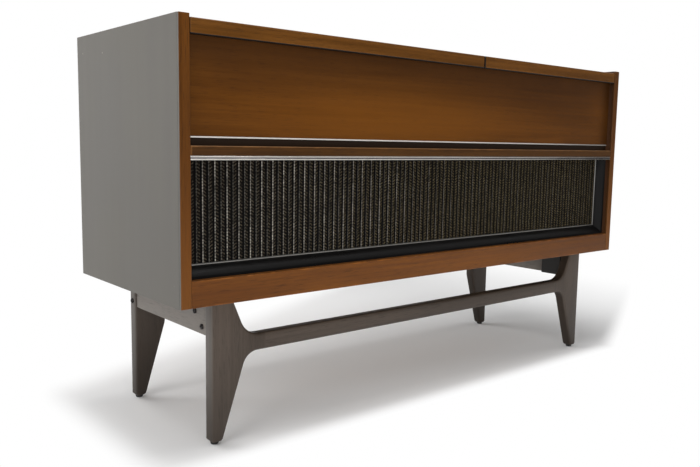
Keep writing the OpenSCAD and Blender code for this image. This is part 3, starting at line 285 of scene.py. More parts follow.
def lipping_walnut():
    """Solid walnut, painted paler towards the floor as light reflected from it, with painted shade on the
    inner faces, and grey on the outer.
    """
    box = (right_low, lipping_high)
    made = timber("walnut_lipping", shade(80, 43, 4), shade(109, 63, 10), "Z", box, rubbed=0.15)
    # Painted light: paler towards the floor, as light reflected from the white floor.
    foot = spread(made, axis(made, "Z"), lipping_low[2], lipping_low[2] + floor_light_rise, 0.4, 0.0)
    overlaid(made, foot, shade(142, 85, 24))
    # Painted shade: the inner faces, in the recess beside the panels, darkened.
    aside = maths(made, "ABSOLUTE", axis(made, "X"))
    inside = maths(made, "LESS_THAN", aside, right_low[0] + inner_skin)
    overlaid(made, times(made, inside, 0.65), shade(38, 20, 6))
    return overlaid(made, outermost(made, lipping_high[0], spray_skin), sprayed_grey(made)[0])


keep("front_lippings", lipping_walnut(), board_edge)

# Bottom panel and bottom rail: the floor of the cabinet and the walnut rail in front of
# it, which closes the lower edge of the grille. Both are housed in the side panels.
shelf_edge = 0.0008
rail_edge = 0.0015
floor_wood = timber("bottom_board", shade(104, 78, 50), shade(134, 104, 70), "X", gloss=0.6)
keep("bottom_panel", floor_wood, shelf_edge)
rail_box = corners("bottom_rail")
rail_wood = timber("walnut_bottom_rail", shade(94, 51, 8), shade(126, 74, 20), "X", rail_box, move=3.1)
keep("bottom_rail", rail_wood, rail_edge)

# Middle rail: the walnut rail between the grille and the upper front panel, rebated below
# for the double trim. A painted highlight makes its top edge a pale line under the reveal.
rail_box = corners("mid_rail")
rail_top = rail_box[1][2]
lit_edge_foot = rail_top - 0.0022
lit_edge_full = rail_top - 0.0008
mid_dark = shade(58, 33, 6)
mid_light = shade(86, 53, 15)
# Full rubbing on the arrises: partly real wear, partly a painted highlight.
mid_wood = timber("walnut_mid_rail", mid_dark, mid_light, "X", rail_box, move=5.7, rubbed=1.0)
# Painted highlight: a pale line on the top edge, where light falls on it.
lit_top_edge = spread(mid_wood, axis(mid_wood, "Z"), lit_edge_foot, lit_edge_full, 0.0, 0.38)
keep("mid_rail", overlaid(mid_wood, lit_top_edge, shade(170, 126, 84)), rail_edge)

# Upper front panel: a veneered board let in behind the front edges. Its foot is painted
# brown-black, as a shadow gap over the middle rail, and the metal strip sits just above.
panel_high = corners("upper_front_panel")[1]
strip_foot = corners("panel_trim_strip")[0][2]
lid_shade = 0.13
end_shade = 0.06


def panel_veneer():
    """Walnut veneer above the strip's lower edge and dark paint below it. The veneer is paler in patches and
    in the middle, a painted reflection, and painted shade darkens it near the lid and at the right end."""
    made = finish("walnut_upper_panel", {"Specular IOR Level": 0.25})
    wood, lines, relief = timber_colour(made, shade(86, 48, 6), shade(110, 64, 11), "X", 8.3)
    broad = noise(made, where(made, (1.7, 1.7, 5.0), (4.0, 0.0, 1.0)), 3.0, 0.8)
    wood = tint(made, spread(made, broad, 0.25, 0.48, 0.25, 0.0), wood, shade(62, 34, 10))
    middle = where(made, (1.8, 0.0, 6.5), (0.25, 0.0, -4.1))
    middle = step(made, "VectorMath", {0: middle}, "Value", operation="LENGTH")
    # Painted reflection: a paler ellipse in the middle, added to random paler patches.
    reflection_and_patches = spread(made, middle, 0.1, 1.1, 0.42, 0.0)
    reflection_and_patches = maths(made, "ADD", reflection_and_patches, spread(made, broad, 0.5, 0.75, 0.0, 0.4))
    wood = tint(made, reflection_and_patches, wood, shade(136, 80, 15))
    z = axis(made, "Z")
    # Painted shade: darker towards the top, under the lid's lip, and towards the right end by the side panel.
    near_lid = spread(made, z, panel_high[2] - lid_shade, panel_high[2], 0.0, 0.6)
    near_end = spread(made, axis(made, "X"), panel_high[0] - end_shade, panel_high[0], 0.0, 0.6)
    for painted_shade in (near_lid, near_end):
        wood = tint(made, painted_shade, wood, shade(44, 24, 8))
    paint = tint(made, noise(made, where(made, 300.0)), shade(31, 20, 11), shade(40, 26, 15))
    foot = maths(made, "LESS_THAN", z, strip_foot + 0.0002)
    rough = spread(made, lines, 0.3, 0.7, 0.36, 0.46)
    return dress(made, tint(made, foot, wood, paint), rough, relief, 0.00005)


keep("upper_front_panel", panel_veneer(), 0.0006)

# Metal trims: a satin strip under the upper panel and a double moulding under the middle
# rail, both extruded aluminium pressed into grooves. The moulding's groove is dark.
groove_half = 0.00105


def metal(name, colour, rough, along, worn=0.35, haze=0.0):
    """Drawn or brushed metal: streaks drawn out along the piece in the gloss and as fine scratches, with
    duller, darker patches where it is tarnished. haze is the share of the surface under a white film."""
    made = finish(name, {"Metallic": 1.0 - haze})
    scale = [6.0 if letter == along else 1500.0 for letter in "XYZ"]
    streaks = noise(made, where(made, scale), 2.0)
    patches = spread(made, noise(made, where(made, 9.0), 4.0), 0.45, 0.72)
    base = tint(made, times(made, patches, worn), colour, toned(colour, 0.55))
    gloss = spread(made, streaks, 0.3, 0.7, rough - 0.06, rough + 0.1)
    gloss = maths(made, "ADD", gloss, times(made, patches, 0.08))
    return dress(made, base, gloss, streaks, 0.00002)


def strip_with_falloff():
    """Satin aluminium, with painted shade that darkens it towards the right end, where its bright reflection
    fades.
    """
    made = metal("anodised_aluminium", shade(242, 240, 235), 0.42, "X", worn=0.15, haze=0.9)
    # Painted shade: darker towards the right end.
    falloff = spread(made, axis(made, "X"), 0.2, 0.66, 0.0, 0.6)
    return overlaid(made, falloff, shade(120, 117, 112))


def grooved_trim():
    """Polished ridges with dark violet-grey paint in the groove, within groove_half of mid-height."""
    low, high = corners("grille_top_trim")
    made = metal("double_trim", shade(236, 232, 225), 0.26, "X", worn=0.2)
    off = maths(made, "SUBTRACT", axis(made, "Z"), (low[2] + high[2]) / 2)
    groove = maths(made, "LESS_THAN", maths(made, "ABSOLUTE", off), groove_half)
    return overlaid(made, groove, shade(84, 79, 92))


keep("panel_trim_strip", strip_with_falloff(), 0.0013, 4)
keep("grille_top_trim", grooved_trim(), 0.0003, 2)

# Grille frame: a bottom length and two uprights of black-painted moulding with a convex
# face, mitred at the lower corners, that slope from the opening's edges back to the
# cloth. They are pinned to the baffle, and the uprights end under the middle rail.
grille_low, grille_high = corners("grille_frame")
cloth_low, cloth_high = corners("grille_cloth")
front_face = lipping_low[1]
moulding_start = 0.014
moulding_foot = 0.037
moulding_back = 0.040
moulding_bulge = (0.70, 0.0213)
upright_w = cloth_low[0] - grille_low[0]
moulding_w = cloth_low[2] - grille_low[2]


def skin(points, loop_u=False, loop_v=False, caps=False):
    """Vertices and faces of a grid of points, whose rows and columns are the two parameters. A loop joins
    the last row or column to the first, and caps close the end rows with one face each."""
    rows, columns = points.shape[:2]
    index = np.arange(rows * columns).reshape(rows, columns)
    ends = [index[0, ::-1].tolist(), index[-1].tolist()] if caps else []
    if loop_u:
        index = np.vstack([index, index[:1]])
    if loop_v:
        index = np.hstack([index, index[:, :1]])
    quads = np.stack([index[:-1, :-1], index[:-1, 1:], index[1:, 1:], index[1:, :-1]], -1)
    return points.reshape(-1, 3), quads.reshape(-1, 4).tolist() + ends


def turn_outwards(mesh):
    """Turns the faces of every closed shell of a mesh outwards."""
    work = bmesh.new()
    work.from_mesh(mesh)
    bmesh.ops.recalc_face_normals(work, faces=work.faces)
    work.to_mesh(mesh)
    work.free()


def piece(name, shells, body, look, replaces=(), crease=34.0, sheet=False):
    """One new piece from a list of shells: they are joined in one mesh, faces of closed shells are turned
    outwards, edges sharper than crease stay sharp, and the piece rides on its body."""
    mesh = bpy.data.meshes.new(name)
    starts = np.cumsum([0] + [len(points) for points, faces in shells])
    points = np.vstack([points for points, faces in shells])
    faces = [[start + i for i in face] for start, (p, group) in zip(starts, shells) for face in group]
    mesh.from_pydata(points.tolist(), [], faces)
    if not sheet:
        turn_outwards(mesh)
    mesh.shade_smooth()
    mesh.set_sharp_from_angle(angle=math.radians(crease))
    mesh.materials.append(look)
    made = bpy.data.objects.new(name, mesh)
    bpy.context.scene.collection.objects.link(made)
    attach(made, body)
    if replaces:
        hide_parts(*replaces)
    return made


def framed(profile, low, high, front, side_w, low_w):
    """A closed profile of (share inwards, backwards) points carried down the left, along the bottom and up
    the right of an upright rectangle between two corners. The share is taken of side_w on the uprights and
    of low_w on the bottom, of both at the lower corners, which mitres them, and the upper ends are square."""
    corner = np.array([[low[0], high[2]], [low[0], low[2]], [high[0], low[2]], [high[0], high[2]]])
    inwards = np.array([[1, 0], [1, 1], [-1, 1], [-1, 0]]) * [side_w, low_w]
    plan = corner[:, None, :] + profile[None, :, :1] * inwards[:, None, :]
    back = np.broadcast_to(front + profile[None, :, 1], plan.shape[:2])
    return skin(np.stack([plan[..., 0], back, plan[..., 1]], -1), loop_v=True, caps=True)


def coated(name, colour, rough, peel=0.00004, grain=420.0, dust=0.25, shine=0.4):
    """Brushed or sprayed paint: a little lighter where dust lies, with the grain of the coat as relief."""
    made = finish(name, {"Specular IOR Level": shine})
    cloud = noise(made, where(made, 11.0), 4.0)
    base = tint(made, spread(made, cloud, 0.4, 0.75, 0.0, dust), colour, toned(colour, 1.5, 0.006))
    lumps = noise(made, where(made, grain), 3.0)
    return dress(made, base, spread(made, cloud, 0.3, 0.7, rough - 0.05, rough + 0.1), lumps, peel)


t = np.linspace(0, 1, 17)[:, None]
crown = (1 - t) ** 2 * [0, moulding_start] + 2 * t * (1 - t) * moulding_bulge + t ** 2 * [1, moulding_foot]
profile = np.vstack([crown, [[1, moulding_back], [0, moulding_back]]])
black_paint = coated("black_paint", shade(11, 10, 10), 0.32, shine=0.16)
moulding = framed(profile, grille_low, grille_high, front_face, upright_w, moulding_w)
piece("grille_moulding", [moulding], "cabinet", black_paint, ["grille_frame"], crease=50)

# Grille bead: a half-round bead of dull plated metal between the moulding and the cloth,
# mitred at the corners, which clamps the cloth's edges to the baffle.
bead_low, bead_high = corners("grille_bead")
bead_w = 0.003
bead_depth = bead_high[1] - bead_low[1]
a = np.linspace(0, np.pi, 9)[:, None]
arc = np.hstack([0.5 - 0.5 * np.cos(a), 0.5 * bead_w * (1 - np.sin(a))])
profile = np.vstack([arc, [[1, bead_depth], [0, bead_depth]]])
bead_metal = metal("plated_bead", shade(176, 174, 170), 0.3, "X")
bead = framed(profile, bead_low, bead_high, bead_low[1], bead_w, bead_w)
piece("grille_bead_strip", [bead], "cabinet", bead_metal, ["grille_bead"], crease=50)

# Grille cloth: a black fabric of upright braids, stretched over the baffle. A thread runs
# up the left of each braid, bright and dim by turns, and pale picks slant across the rest.
rib_pitch = 0.013
rib_height = 0.0007
first_rib = 0.006
cloth_back = 0.0002
pick_period = 0.0066
pick_lean = 1.1
knot_period = 0.0057
thread_place = -0.2
braid_place = 0.11


def ribbed_cloth():
    """A flat sheet in X and Z whose depth follows a row of upright ribs: the ribs' height is a raised
    cosine of X with the ribs' pitch, squared, so that they stay narrow."""
    columns = 8 * int((cloth_high[0] - cloth_low[0]) / rib_pitch)
    x = np.linspace(cloth_low[0], cloth_high[0], columns + 1)[None, :]
    z = np.linspace(cloth_low[2], cloth_high[2], 58)[:, None]
    rise = (0.5 + 0.5 * np.cos(2 * np.pi * (x - first_rib) / rib_pitch)) ** 2
    depth = cloth_high[1] - cloth_back - rib_height * rise
    return skin(np.stack(np.broadcast_arrays(x, depth, z), -1))


def thread_cloth():
    """Ground, picks and threads by place. X counted in ribs gives the braids, black between them, with a
    thread up the left of each, bright and dim by turns, that dulls towards the right. Each braid has a
    random start, and its picks rise or fall across it. Picks and knots repeat along Z as sine waves,
    uneven by noise."""
    made = finish("grille_fabric", {"Specular IOR Level": 0.12})
    x = axis(made, "X")
    z = axis(made, "Z")
    count = maths(made, "DIVIDE", maths(made, "SUBTRACT", x, first_rib), rib_pitch)
    rib = maths(made, "ROUND", count)
    across = maths(made, "SUBTRACT", count, rib)
    odd = maths(made, "ABSOLUTE", maths(made, "MODULO", rib, 2.0))
    right = spread(made, x, cloth_low[0], 0.3)
    chance = step(made, "TexWhiteNoise", {"W": rib}, "Value", noise_dimensions="1D")
    lean = times(made, spread(made, chance, 0.48, 0.52, -pick_lean, pick_lean), across)

    def column(place, core, edge):
        off = maths(made, "ABSOLUTE", maths(made, "SUBTRACT", across, place))
        return spread(made, off, core, edge, 1.0, 0.0)

    def waves(period, shift, low, high):
        turns = maths(made, "ADD", maths(made, "DIVIDE", z, period), maths(made, "ADD", chance, shift))
        return spread(made, maths(made, "SINE", times(made, turns, 2 * math.pi)), low, high)
    specks = noise(made, where(made, (430.0, 1.0, 380.0), (3.0, 0.0, 9.0)), 2.0)
    specks = spread(made, specks, 0.40, 0.60, 0.05, 1.0)
    uneven = noise(made, where(made, (190.0, 1.0, 150.0), (7.0, 0.0, 2.0)), 3.0)
    uneven = spread(made, uneven, 0.36, 0.6, 0.35, 1.0)
    worn = noise(made, where(made, (30.0, 1.0, 11.0), (1.0, 0.0, 8.0)), 2.0)
    worn = spread(made, worn, 0.3, 0.62, 0.45, 1.0)
    brown = noise(made, where(made, (5.0, 1.0, 6.0), (3.0, 0.0, 5.0)), 2.0)
    brown = spread(made, brown, 0.45, 0.7)
    braid = column(braid_place, 0.20, 0.32)
    picks = times(made, waves(pick_period, lean, -0.6, 0.9), specks, braid)
    knots = times(made, waves(knot_period, 0.0, -1.8, 0.4), uneven, worn)
    strength = maths(made, "MULTIPLY_ADD", odd, 0.58, 0.2)
    strength = times(made, strength, spread(made, right, 0.0, 1.0, 1.0, 0.25))
    threads = times(made, column(thread_place, 0.02, 0.10), knots, strength)
    ground = tint(made, braid, shade(6, 5, 5), tint(made, brown, shade(14, 12, 10), shade(19, 13, 9)))
    base = tint(made, picks, ground, tint(made, right, shade(80, 72, 61), shade(124, 110, 76)))
    base = tint(made, threads, base, shade(226, 220, 208))
    height = maths(made, "MULTIPLY_ADD", picks, 0.4, threads)
    return dress(made, base, spread(made, threads, 0.0, 1.0, 0.9, 0.5), height, 0.0003)


cloth = piece(
    "grille_cloth_sheet", [ribbed_cloth()], "cabinet", thread_cloth(), ["grille_cloth"], sheet=True)

# Speakers: a black-painted baffle behind the cloth with two cone woofers and two small
# tweeters screwed to its back. They show only when the cloth or the back is taken off.
keep("speaker_baffle", black_paint, 0.0005)
speaker_metal = coated("speaker_enamel", shade(70, 71, 74), 0.4)
keep("woofer_frames", speaker_metal)
keep("tweeters", speaker_metal)
keep("woofer_cones", coated("pulp_paper", shade(60, 57, 54), 0.85, 0.0002, 900.0))

# Back panel: a thin hardboard sheet with vent slots and the cord's outlet, screwed into
# rabbets in the sides. The screws are slotted and round headed.
head_r = 0.004
head_h = 0.0016
screw_r = 0.0017
screw_l = 0.014
slot_share = 0.16


def pressed_board():
    """Hardboard: short fibres at random, as noises drawn out along X and along Z, over a brown ground."""
    made = finish("hardboard", {"Specular IOR Level": 0.25})
    flat_fibres = noise(made, where(made, (170.0, 900.0, 1300.0)), 3.0, 1.2)
    tall_fibres = noise(made, where(made, (1300.0, 900.0, 170.0), (5.0, 0.0, 3.0)), 3.0, 1.2)
    fibres = maths(made, "MAXIMUM", flat_fibres, tall_fibres)
    stain = noise(made, where(made, 4.0), 4.0)
    colour = tint(made, spread(made, fibres, 0.42, 0.75), shade(70, 48, 32), shade(116, 84, 58))
    colour = tint(made, spread(made, stain, 0.4, 0.7, 0.0, 0.35), colour, shade(60, 42, 30))
    return dress(made, colour, spread(made, fibres, 0.4, 0.8, 0.72, 0.6), fibres, 0.00015)


def stacked(outline, levels):
    """A solid built up from a closed plan outline, counter-clockwise: at each level of (inset, height) the
    outline is drawn in square to its edges by the inset. The end levels are closed."""
    into = outline - np.roll(outline, 1, 0)
    out = np.roll(outline, -1, 0) - outline
    into = into / np.linalg.norm(into, axis=1, keepdims=True)
    out = out / np.linalg.norm(out, axis=1, keepdims=True)
    first = np.stack([-into[:, 1], into[:, 0]], 1)
    second = np.stack([-out[:, 1], out[:, 0]], 1)
    mitre = (first + second) / (1 + np.sum(first * second, 1, keepdims=True))
    levels = np.array(levels, float)
    plan = outline[None] + levels[:, None, :1] * mitre[None]
    height = np.broadcast_to(levels[:, 1][:, None, None], plan.shape[:2] + (1,))
    return skin(np.concatenate([plan, height], -1), loop_v=True, caps=True)


def eased_levels(bottom, top, radius, foot=0.0, steps=4):
    """Levels of a slab: a quarter circle of radius foot up from the bottom edge, if there is one, and a
    quarter circle of radius in to the top."""
    a = np.linspace(0, np.pi / 2, steps + 1)
    rise = [[0.0, bottom]]
    if foot:
        rise = np.stack([foot * (1 - np.sin(a)), bottom + foot * (1 - np.cos(a))], 1)
    return np.vstack([rise, np.stack([radius * (1 - np.cos(a)), top - radius * (1 - np.sin(a))], 1)])


def laid(shell, origin, x=(1, 0, 0), y=(0, 1, 0), z=(0, 0, 1)):
    """A shell drawn round its own origin, put at a place with its axes turned as given."""
    points, faces = shell
    return points @ np.array([x, y, z], float) + np.array(origin, float), faces


def turned(profile, sides, flutes=0, flute_depth=(), ring=False):
    """A profile of (radius, height) pairs turned round the upright axis, with its ends closed, or joined to
    each other for a ring. Flutes add a cosine of the angle to the radius, as deep at each point of the
    profile as flute_depth says."""
    profile = np.array(profile, float)
    angle = np.linspace(0, 2 * np.pi, sides, endpoint=False)[None, :]
    depth = np.array(flute_depth, float)[:, None] if flutes else np.zeros((len(profile), 1))
    radius = profile[:, :1] - depth * (0.5 - 0.5 * np.cos(flutes * angle))
    height = np.broadcast_to(profile[:, 1:], radius.shape)
    points = np.stack([radius * np.cos(angle), radius * np.sin(angle), height], -1)
    return skin(points, loop_u=ring, loop_v=True, caps=not ring)


def slotted_head(radius, height, shank_r, shank_l):
    """A round screw head in two half discs with a slot between them, on a thin disc and a shank. Local Z
    points out of the head. Each half is an arc and its chord, built up with a rounded top edge."""
    sides = 20
    floor = 0.35 * height
    edge = math.asin(slot_share)
    a = np.linspace(edge, np.pi - edge, sides)
    half = radius * np.stack([np.cos(a), np.sin(a)], 1)
    levels = eased_levels(floor, height, 0.4 * height, steps=3)
    lower = turned([(shank_r, -shank_l), (shank_r, 0.0), (radius, 0.0), (radius, floor)], 2 * sides)
    return [lower, stacked(half, levels), stacked(-half, levels)]


def screws(name, places, outwards, look, replaces=(), size=(head_r, head_h, screw_r, screw_l)):
    """A set of slotted screws as one piece: places are the points under the heads, and outwards is the
    way the heads face, one vector for all or one for each. size is the head's radius and height and the
    shank's radius and length. Each slot is turned a little further."""
    shells = []
    for number, (place, normal) in enumerate(zip(places, np.broadcast_to(outwards, (len(places), 3)))):
        side = np.cross(normal, [0.31, 0.52, 0.79])
        side = side / np.linalg.norm(side)
        spin = 1.3 * number
        x = math.cos(spin) * side + math.sin(spin) * np.cross(normal, side)
        y = np.cross(normal, x)
        shells += [laid(shell, place, x, y, normal) for shell in slotted_head(*size)]
    return piece(name, shells, "cabinet", look, replaces, crease=30)


keep("back_panel", pressed_board(), 0.0004, 2)
back_face = corners("back_panel")[1][1]
screw_low, screw_high = corners("back_screws")
screw_z = np.linspace(screw_low[2] + head_r, screw_high[2] - head_r, 4)
places = [(x, back_face, z) for x in (screw_low[0] + head_r, screw_high[0] - head_r) for z in screw_z]
plated_steel = metal("plated_steel", shade(178, 178, 174), 0.3, "Z")
screws("back_panel_screws", places, (0, 1, 0), plated_steel, replaces=["back_screws"])

# Inside boards: the rear top rail that carries the hinges, the divider between the bays
# and the two deck boards, in walnut veneer, glued and screwed between the sides.
inner_dark = shade(70, 42, 21)
rear_rail_box = corners("rear_top_rail")
rear_rail_wood = timber("walnut_rear_rail", inner_dark, shade(116, 74, 40), "X", rear_rail_box, move=1.7)
keep("rear_top_rail", rear_rail_wood, rail_edge)
keep("bay_divider", timber("walnut_divider", inner_dark, shade(104, 66, 36), "Y", move=2.9), 0.001)
deck_wood = timber("walnut_decks", shade(56, 34, 18), shade(86, 54, 29), "X", move=4.4, gloss=0.5)
keep("deck_board_left", deck_wood, shelf_edge)
keep("deck_board_right", deck_wood, shelf_edge)

# Works under the decks: the receiver's folded steel chassis with its transformer, four
# valves plugged into its rear wall, and the motors of the tape deck and the changer.
keep("receiver_chassis", plated_steel, 0.0005, 2)
keep("drive_motors", coated("motor_enamel", shade(74, 76, 80), 0.38), 0.0015)
valve_glass = finish("valve_glass", {"Roughness": 0.04, "Transmission Weight": 0.85, "IOR": 1.5})
smoke = spread(valve_glass, noise(valve_glass, where(valve_glass, 30.0), 3.0), 0.4, 0.7)
dress(valve_glass, tint(valve_glass, smoke, shade(232, 234, 232), shade(120, 118, 114)))
keep("receiver_tubes", valve_glass)

# Leg frame: two front legs and a stretcher that flow into each other, two tapered rear
# legs, and side aprons between them, in grey-brown stained hardwood with rounded edges.
# The frame is bolted through corner blocks under the cabinet.
leg_low, leg_high = corners("front_leg_frame")
rear_low, rear_high = corners("rear_legs")
underside = leg_high[2]
foot_w = 0.025
foot_ease = 0.004
top_w = 0.046
mid_w = 0.080
ear_w = 0.122
stretcher_low = 0.176
stretcher_high = 0.210
low_radius = 0.034
high_radius = 0.046
leg_round = 0.0058
rear_w = 0.074
rear_knee = 0.172
rear_radius = 0.03
buried = 0.010
foot_rise = 0.25


def fillet(before, corner, after, radius, steps=14):
    """Points of the arc of that radius that rounds the corner between two straight edges: its ends lie
    radius / tan(half the corner's angle) from the corner, and its centre on the angle's bisector."""
    before, corner, after = (np.array(p, float) for p in (before, corner, after))
    first = (before - corner) / np.linalg.norm(before - corner)
    second = (after - corner) / np.linalg.norm(after - corner)
    half = math.acos(float(first @ second)) / 2
    bisector = (first + second) / np.linalg.norm(first + second)
    centre = corner + bisector * radius / math.sin(half)
    start = corner + first * radius / math.tan(half) - centre
    end = corner + second * radius / math.tan(half) - centre
    turn = math.atan2(start[0] * end[1] - start[1] * end[0], float(start @ end))
    a = turn * np.linspace(0, 1, steps)[:, None]
    return centre + np.cos(a) * start + np.sin(a) * np.array([-start[1], start[0]])


def leg_ends(left, foot, width):
    """Sole and top of a left leg's outline in X and Z. The sole's corners are eased, and the top goes on
    past the cabinet's underside, where it is cut off later."""
    sole = [[left + foot_ease, foot], [left + foot_w - foot_ease, foot], [left + foot_w, foot + foot_ease]]
    above = underside + buried
    return sole, [[left + width, above], [left, above], [left, foot + foot_ease]]


def front_frame_outline():
    """Half of the frame's outline from the left foot round the knee, and from the elbow up to the top, in
    X and Z; the other half is its mirror image, so that legs and stretcher are one outline."""
    left = leg_low[0]
    sole, top = leg_ends(left, leg_low[2], top_w)
    mid = left + mid_w
    ear = left + ear_w
    knee = fillet(sole[2], [mid, stretcher_low], [ear, stretcher_low], low_radius)
    elbow = fillet([ear, stretcher_high], [mid, stretcher_high], [left + top_w, underside], high_radius)
    lower = np.vstack([sole, knee])
    upper = np.vstack([elbow, top])
    flip = np.array([-1, 1])
    return np.vstack([lower, lower[::-1] * flip, upper[::-1] * flip, upper])


def rear_leg_outline():
    """The left rear leg in X and Z: straight outside, tapered inside from the knee down to the foot."""
    inner = rear_low[0] + rear_w
    sole, top = leg_ends(rear_low[0], rear_low[2], rear_w)
    knee = fillet(sole[2], [inner, rear_knee], [inner, underside], rear_radius, 7)
    return np.vstack([sole, knee, top])


def shaped_leg(outline, front, back):
    """An outline in X and Z carried from front to back with rounded edges, and cut off level where it
    meets the cabinet: points above the underside are brought down to it."""
    levels = eased_levels(0.0, back - front, leg_round, leg_round, 6)
    points, faces = laid(stacked(outline, levels), (0, back, 0), (1, 0, 0), (0, 0, 1), (0, -1, 0))
    return np.minimum(points, [np.inf, np.inf, underside]), faces


def leg_timber(name, box, along, move, shares, upright_past=None):
    """Stained hardwood, with painted shade on the rims between front and back face and a painted highlight on
    the outer edges. It darkens towards the foot, by a share that falls to a lower one at foot_rise."""
    made = timber(name, shade(72, 62, 54), shade(92, 81, 72), along, None, 0.46, move, 0.0, upright_past)
    z = axis(made, "Z")
    overlaid(made, spread(made, z, 0.0, foot_rise, *shares), shade(34, 27, 21))
    y = axis(made, "Y")
    from_front = maths(made, "SUBTRACT", y, box[0][1])
    depth = maths(made, "MINIMUM", from_front, maths(made, "SUBTRACT", box[1][1], y))
    # Painted shade: the rims between front and back face darkened.
    overlaid(made, spread(made, depth, 0.3 * leg_round, leg_round, 0.0, 0.7), shade(36, 27, 19))
    # Painted highlight: the outer edges, which face the left window lamp, made paler.
    aside = maths(made, "ABSOLUTE", axis(made, "X"))
    outer = box[1][0]
    edge = spread(made, aside, outer - 0.5 * leg_round, outer - 0.1 * leg_round, 0.0, 0.65)
    edge = times(made, edge, spread(made, z, 0.0, foot_rise, 0.2, 1.0))
    return overlaid(made, edge, shade(108, 103, 98))


joint = -leg_low[0] - ear_w
leg_wood = leg_timber("stained_leg_wood", (leg_low, leg_high), "X", 6.2, (0.5, 0.0), joint)
legs = shaped_leg(front_frame_outline(), leg_low[1], leg_high[1])
piece("front_legs_and_stretcher", [legs], "cabinet", leg_wood, ["front_leg_frame"], crease=40)
left_rear = shaped_leg(rear_leg_outline(), rear_low[1], rear_high[1])
right_rear = (left_rear[0] * [-1, 1, 1], left_rear[1])
# Painted shade: the rear legs darken more towards the foot, as they stand in shade.
rear_wood = leg_timber("stained_rear_leg_wood", (rear_low, rear_high), "Z", 7.9, (0.85, 0.4))
piece("rear_leg_pair", [left_rear, right_rear], "cabinet", rear_wood, ["rear_legs"], crease=40)
apron_dark = shade(114, 108, 102)
apron_light = shade(128, 122, 116)
keep("side_aprons", timber("stained_apron_wood", apron_dark, apron_light, "Y", gloss=0.46, move=2.2), 0.002)
keep("corner_blocks", coated("black_blocks", shade(30, 28, 27), 0.5), 0.001)

# Frame bolts and foot glides: dark slotted bolts through aprons and rear legs into the
# corner blocks, and hard rubber glides nailed under the feet.
apron_face = corners("side_aprons")[0][0]
apron_bolts = [(-0.147, 0.230), (-0.119, 0.257)]
rear_bolt = ((rear_low[1] + rear_high[1]) / 2, 0.228)
bolt_size = (0.0055, 0.003, 0.003, 0.045)
places = [(side * apron_face, y, z) for side in (1, -1) for y, z in apron_bolts]
places += [(side * leg_low[0], *rear_bolt) for side in (1, -1)]
ways = [(math.copysign(1, x), 0, 0) for x, y, z in places]
dark_steel = metal("blackened_steel", shade(64, 62, 62), 0.42, "Y", worn=0.6)
screws("leg_frame_bolts", places, ways, dark_steel, ["frame_bolts"], bolt_size)
keep("foot_glides", coated("hard_rubber", shade(32, 31, 30), 0.6), 0.001)

# Lids: two walnut-veneered boards with a deeper front edge, split right of the middle.
# They lie a little below the side panels' top edges and hang on brass butt hinges.
lip_edge = 0.0016
split_edge = 0.0018


def lid_veneer(side, move):
    """Walnut veneer, with painted shadow: the lower edge of the lip and the end at the split are darkened
    nearly black.
    """
    low, high = corners("lid_" + side)
    split = high[0] if side == "left" else low[0]
    name = "walnut_lid_" + side
    made = timber(name, shade(92, 55, 12), shade(124, 77, 24), "X", (low, high), 0.38, move, 0.12)
    # Painted shadow: a dark line under the lip and along the gap between the lids.
    edge = maths(made, "LESS_THAN", axis(made, "Z"), low[2] + lip_edge)
    from_split = maths(made, "ABSOLUTE", maths(made, "SUBTRACT", axis(made, "X"), split))
    end = maths(made, "LESS_THAN", from_split, split_edge)
    return overlaid(made, maths(made, "MAXIMUM", edge, end), shade(16, 14, 13))


for side, move in (("left", 11.3), ("right", 14.9)):
    keep("lid_" + side, lid_veneer(side, move), board_edge)

# Hinges and stays: brass butt hinges between lids and rear rail, and a slotted brass
# quadrant on each lid that runs on a guide screw in the side panel.
brass = metal("lacquered_brass", shade(206, 172, 104), 0.3, "X", worn=0.5)
for node in ("hinge_leaves_fixed", "hinge_leaves_left", "hinge_leaves_right", "stay_guide_screws"):
    keep(node, brass, 0.0002, 2)
for node in ("quadrant_stay_left", "quadrant_stay_right"):
    keep(node, brass, 0.0004, 2)

# Tape deck plate: a thick plate with rounded corners in satin champagne enamel, fixed to
# the deck board with four round-headed screws.
screw_inset = 0.013


def corner_screws(name, node, top):
    """Screws in the four corners of a plate whose flat top is that high."""
    low, high = corners(node)
    xs = (low[0] + screw_inset, high[0] - screw_inset)
    ys = (low[1] + screw_inset, high[1] - screw_inset)
    return screws(name, [(x, y, top) for x in xs for y in ys], (0, 0, 1), plated_steel)


enamel = coated("champagne_enamel", shade(186, 181, 166), 0.36, 0.00003, 700.0, 0.15)
keep("tape_deck_plate", enamel, 0.001)
plate_top = corners("tape_deck_plate")[1][2]
corner_screws("tape_plate_screws", "tape_deck_plate", plate_top)

# Tape reels: two flanges of grey polystyrene with three windows on a hub, wound with
# brown tape, on a turned table. A three-lobed cap locks each reel on its shaft.
flange_t = 0.0015
flange_gap = 0.0065
table_r = 0.033
table_h = 0.004
table_edge = 0.001
shaft_r = 0.0035
hub_r = 0.030
hub_wall = 0.004
hub_lap = 0.0005
hub_raised = 0.0012
well_r = 0.016
well_floor = 0.0002
cap_r = 0.017
cap_waist = 0.007
pin_r = 0.004
window_in = 0.038
window_out = 0.078
window_turn = math.radians(43)
full_r = 0.075
low_r = 0.042
pack_edge = 0.0003
play = 0.0001
running_gap = 0.0003
reel_seat = plate_top + running_gap
flange_z = reel_seat + table_h
reel_top = flange_z + 2 * flange_t + flange_gap


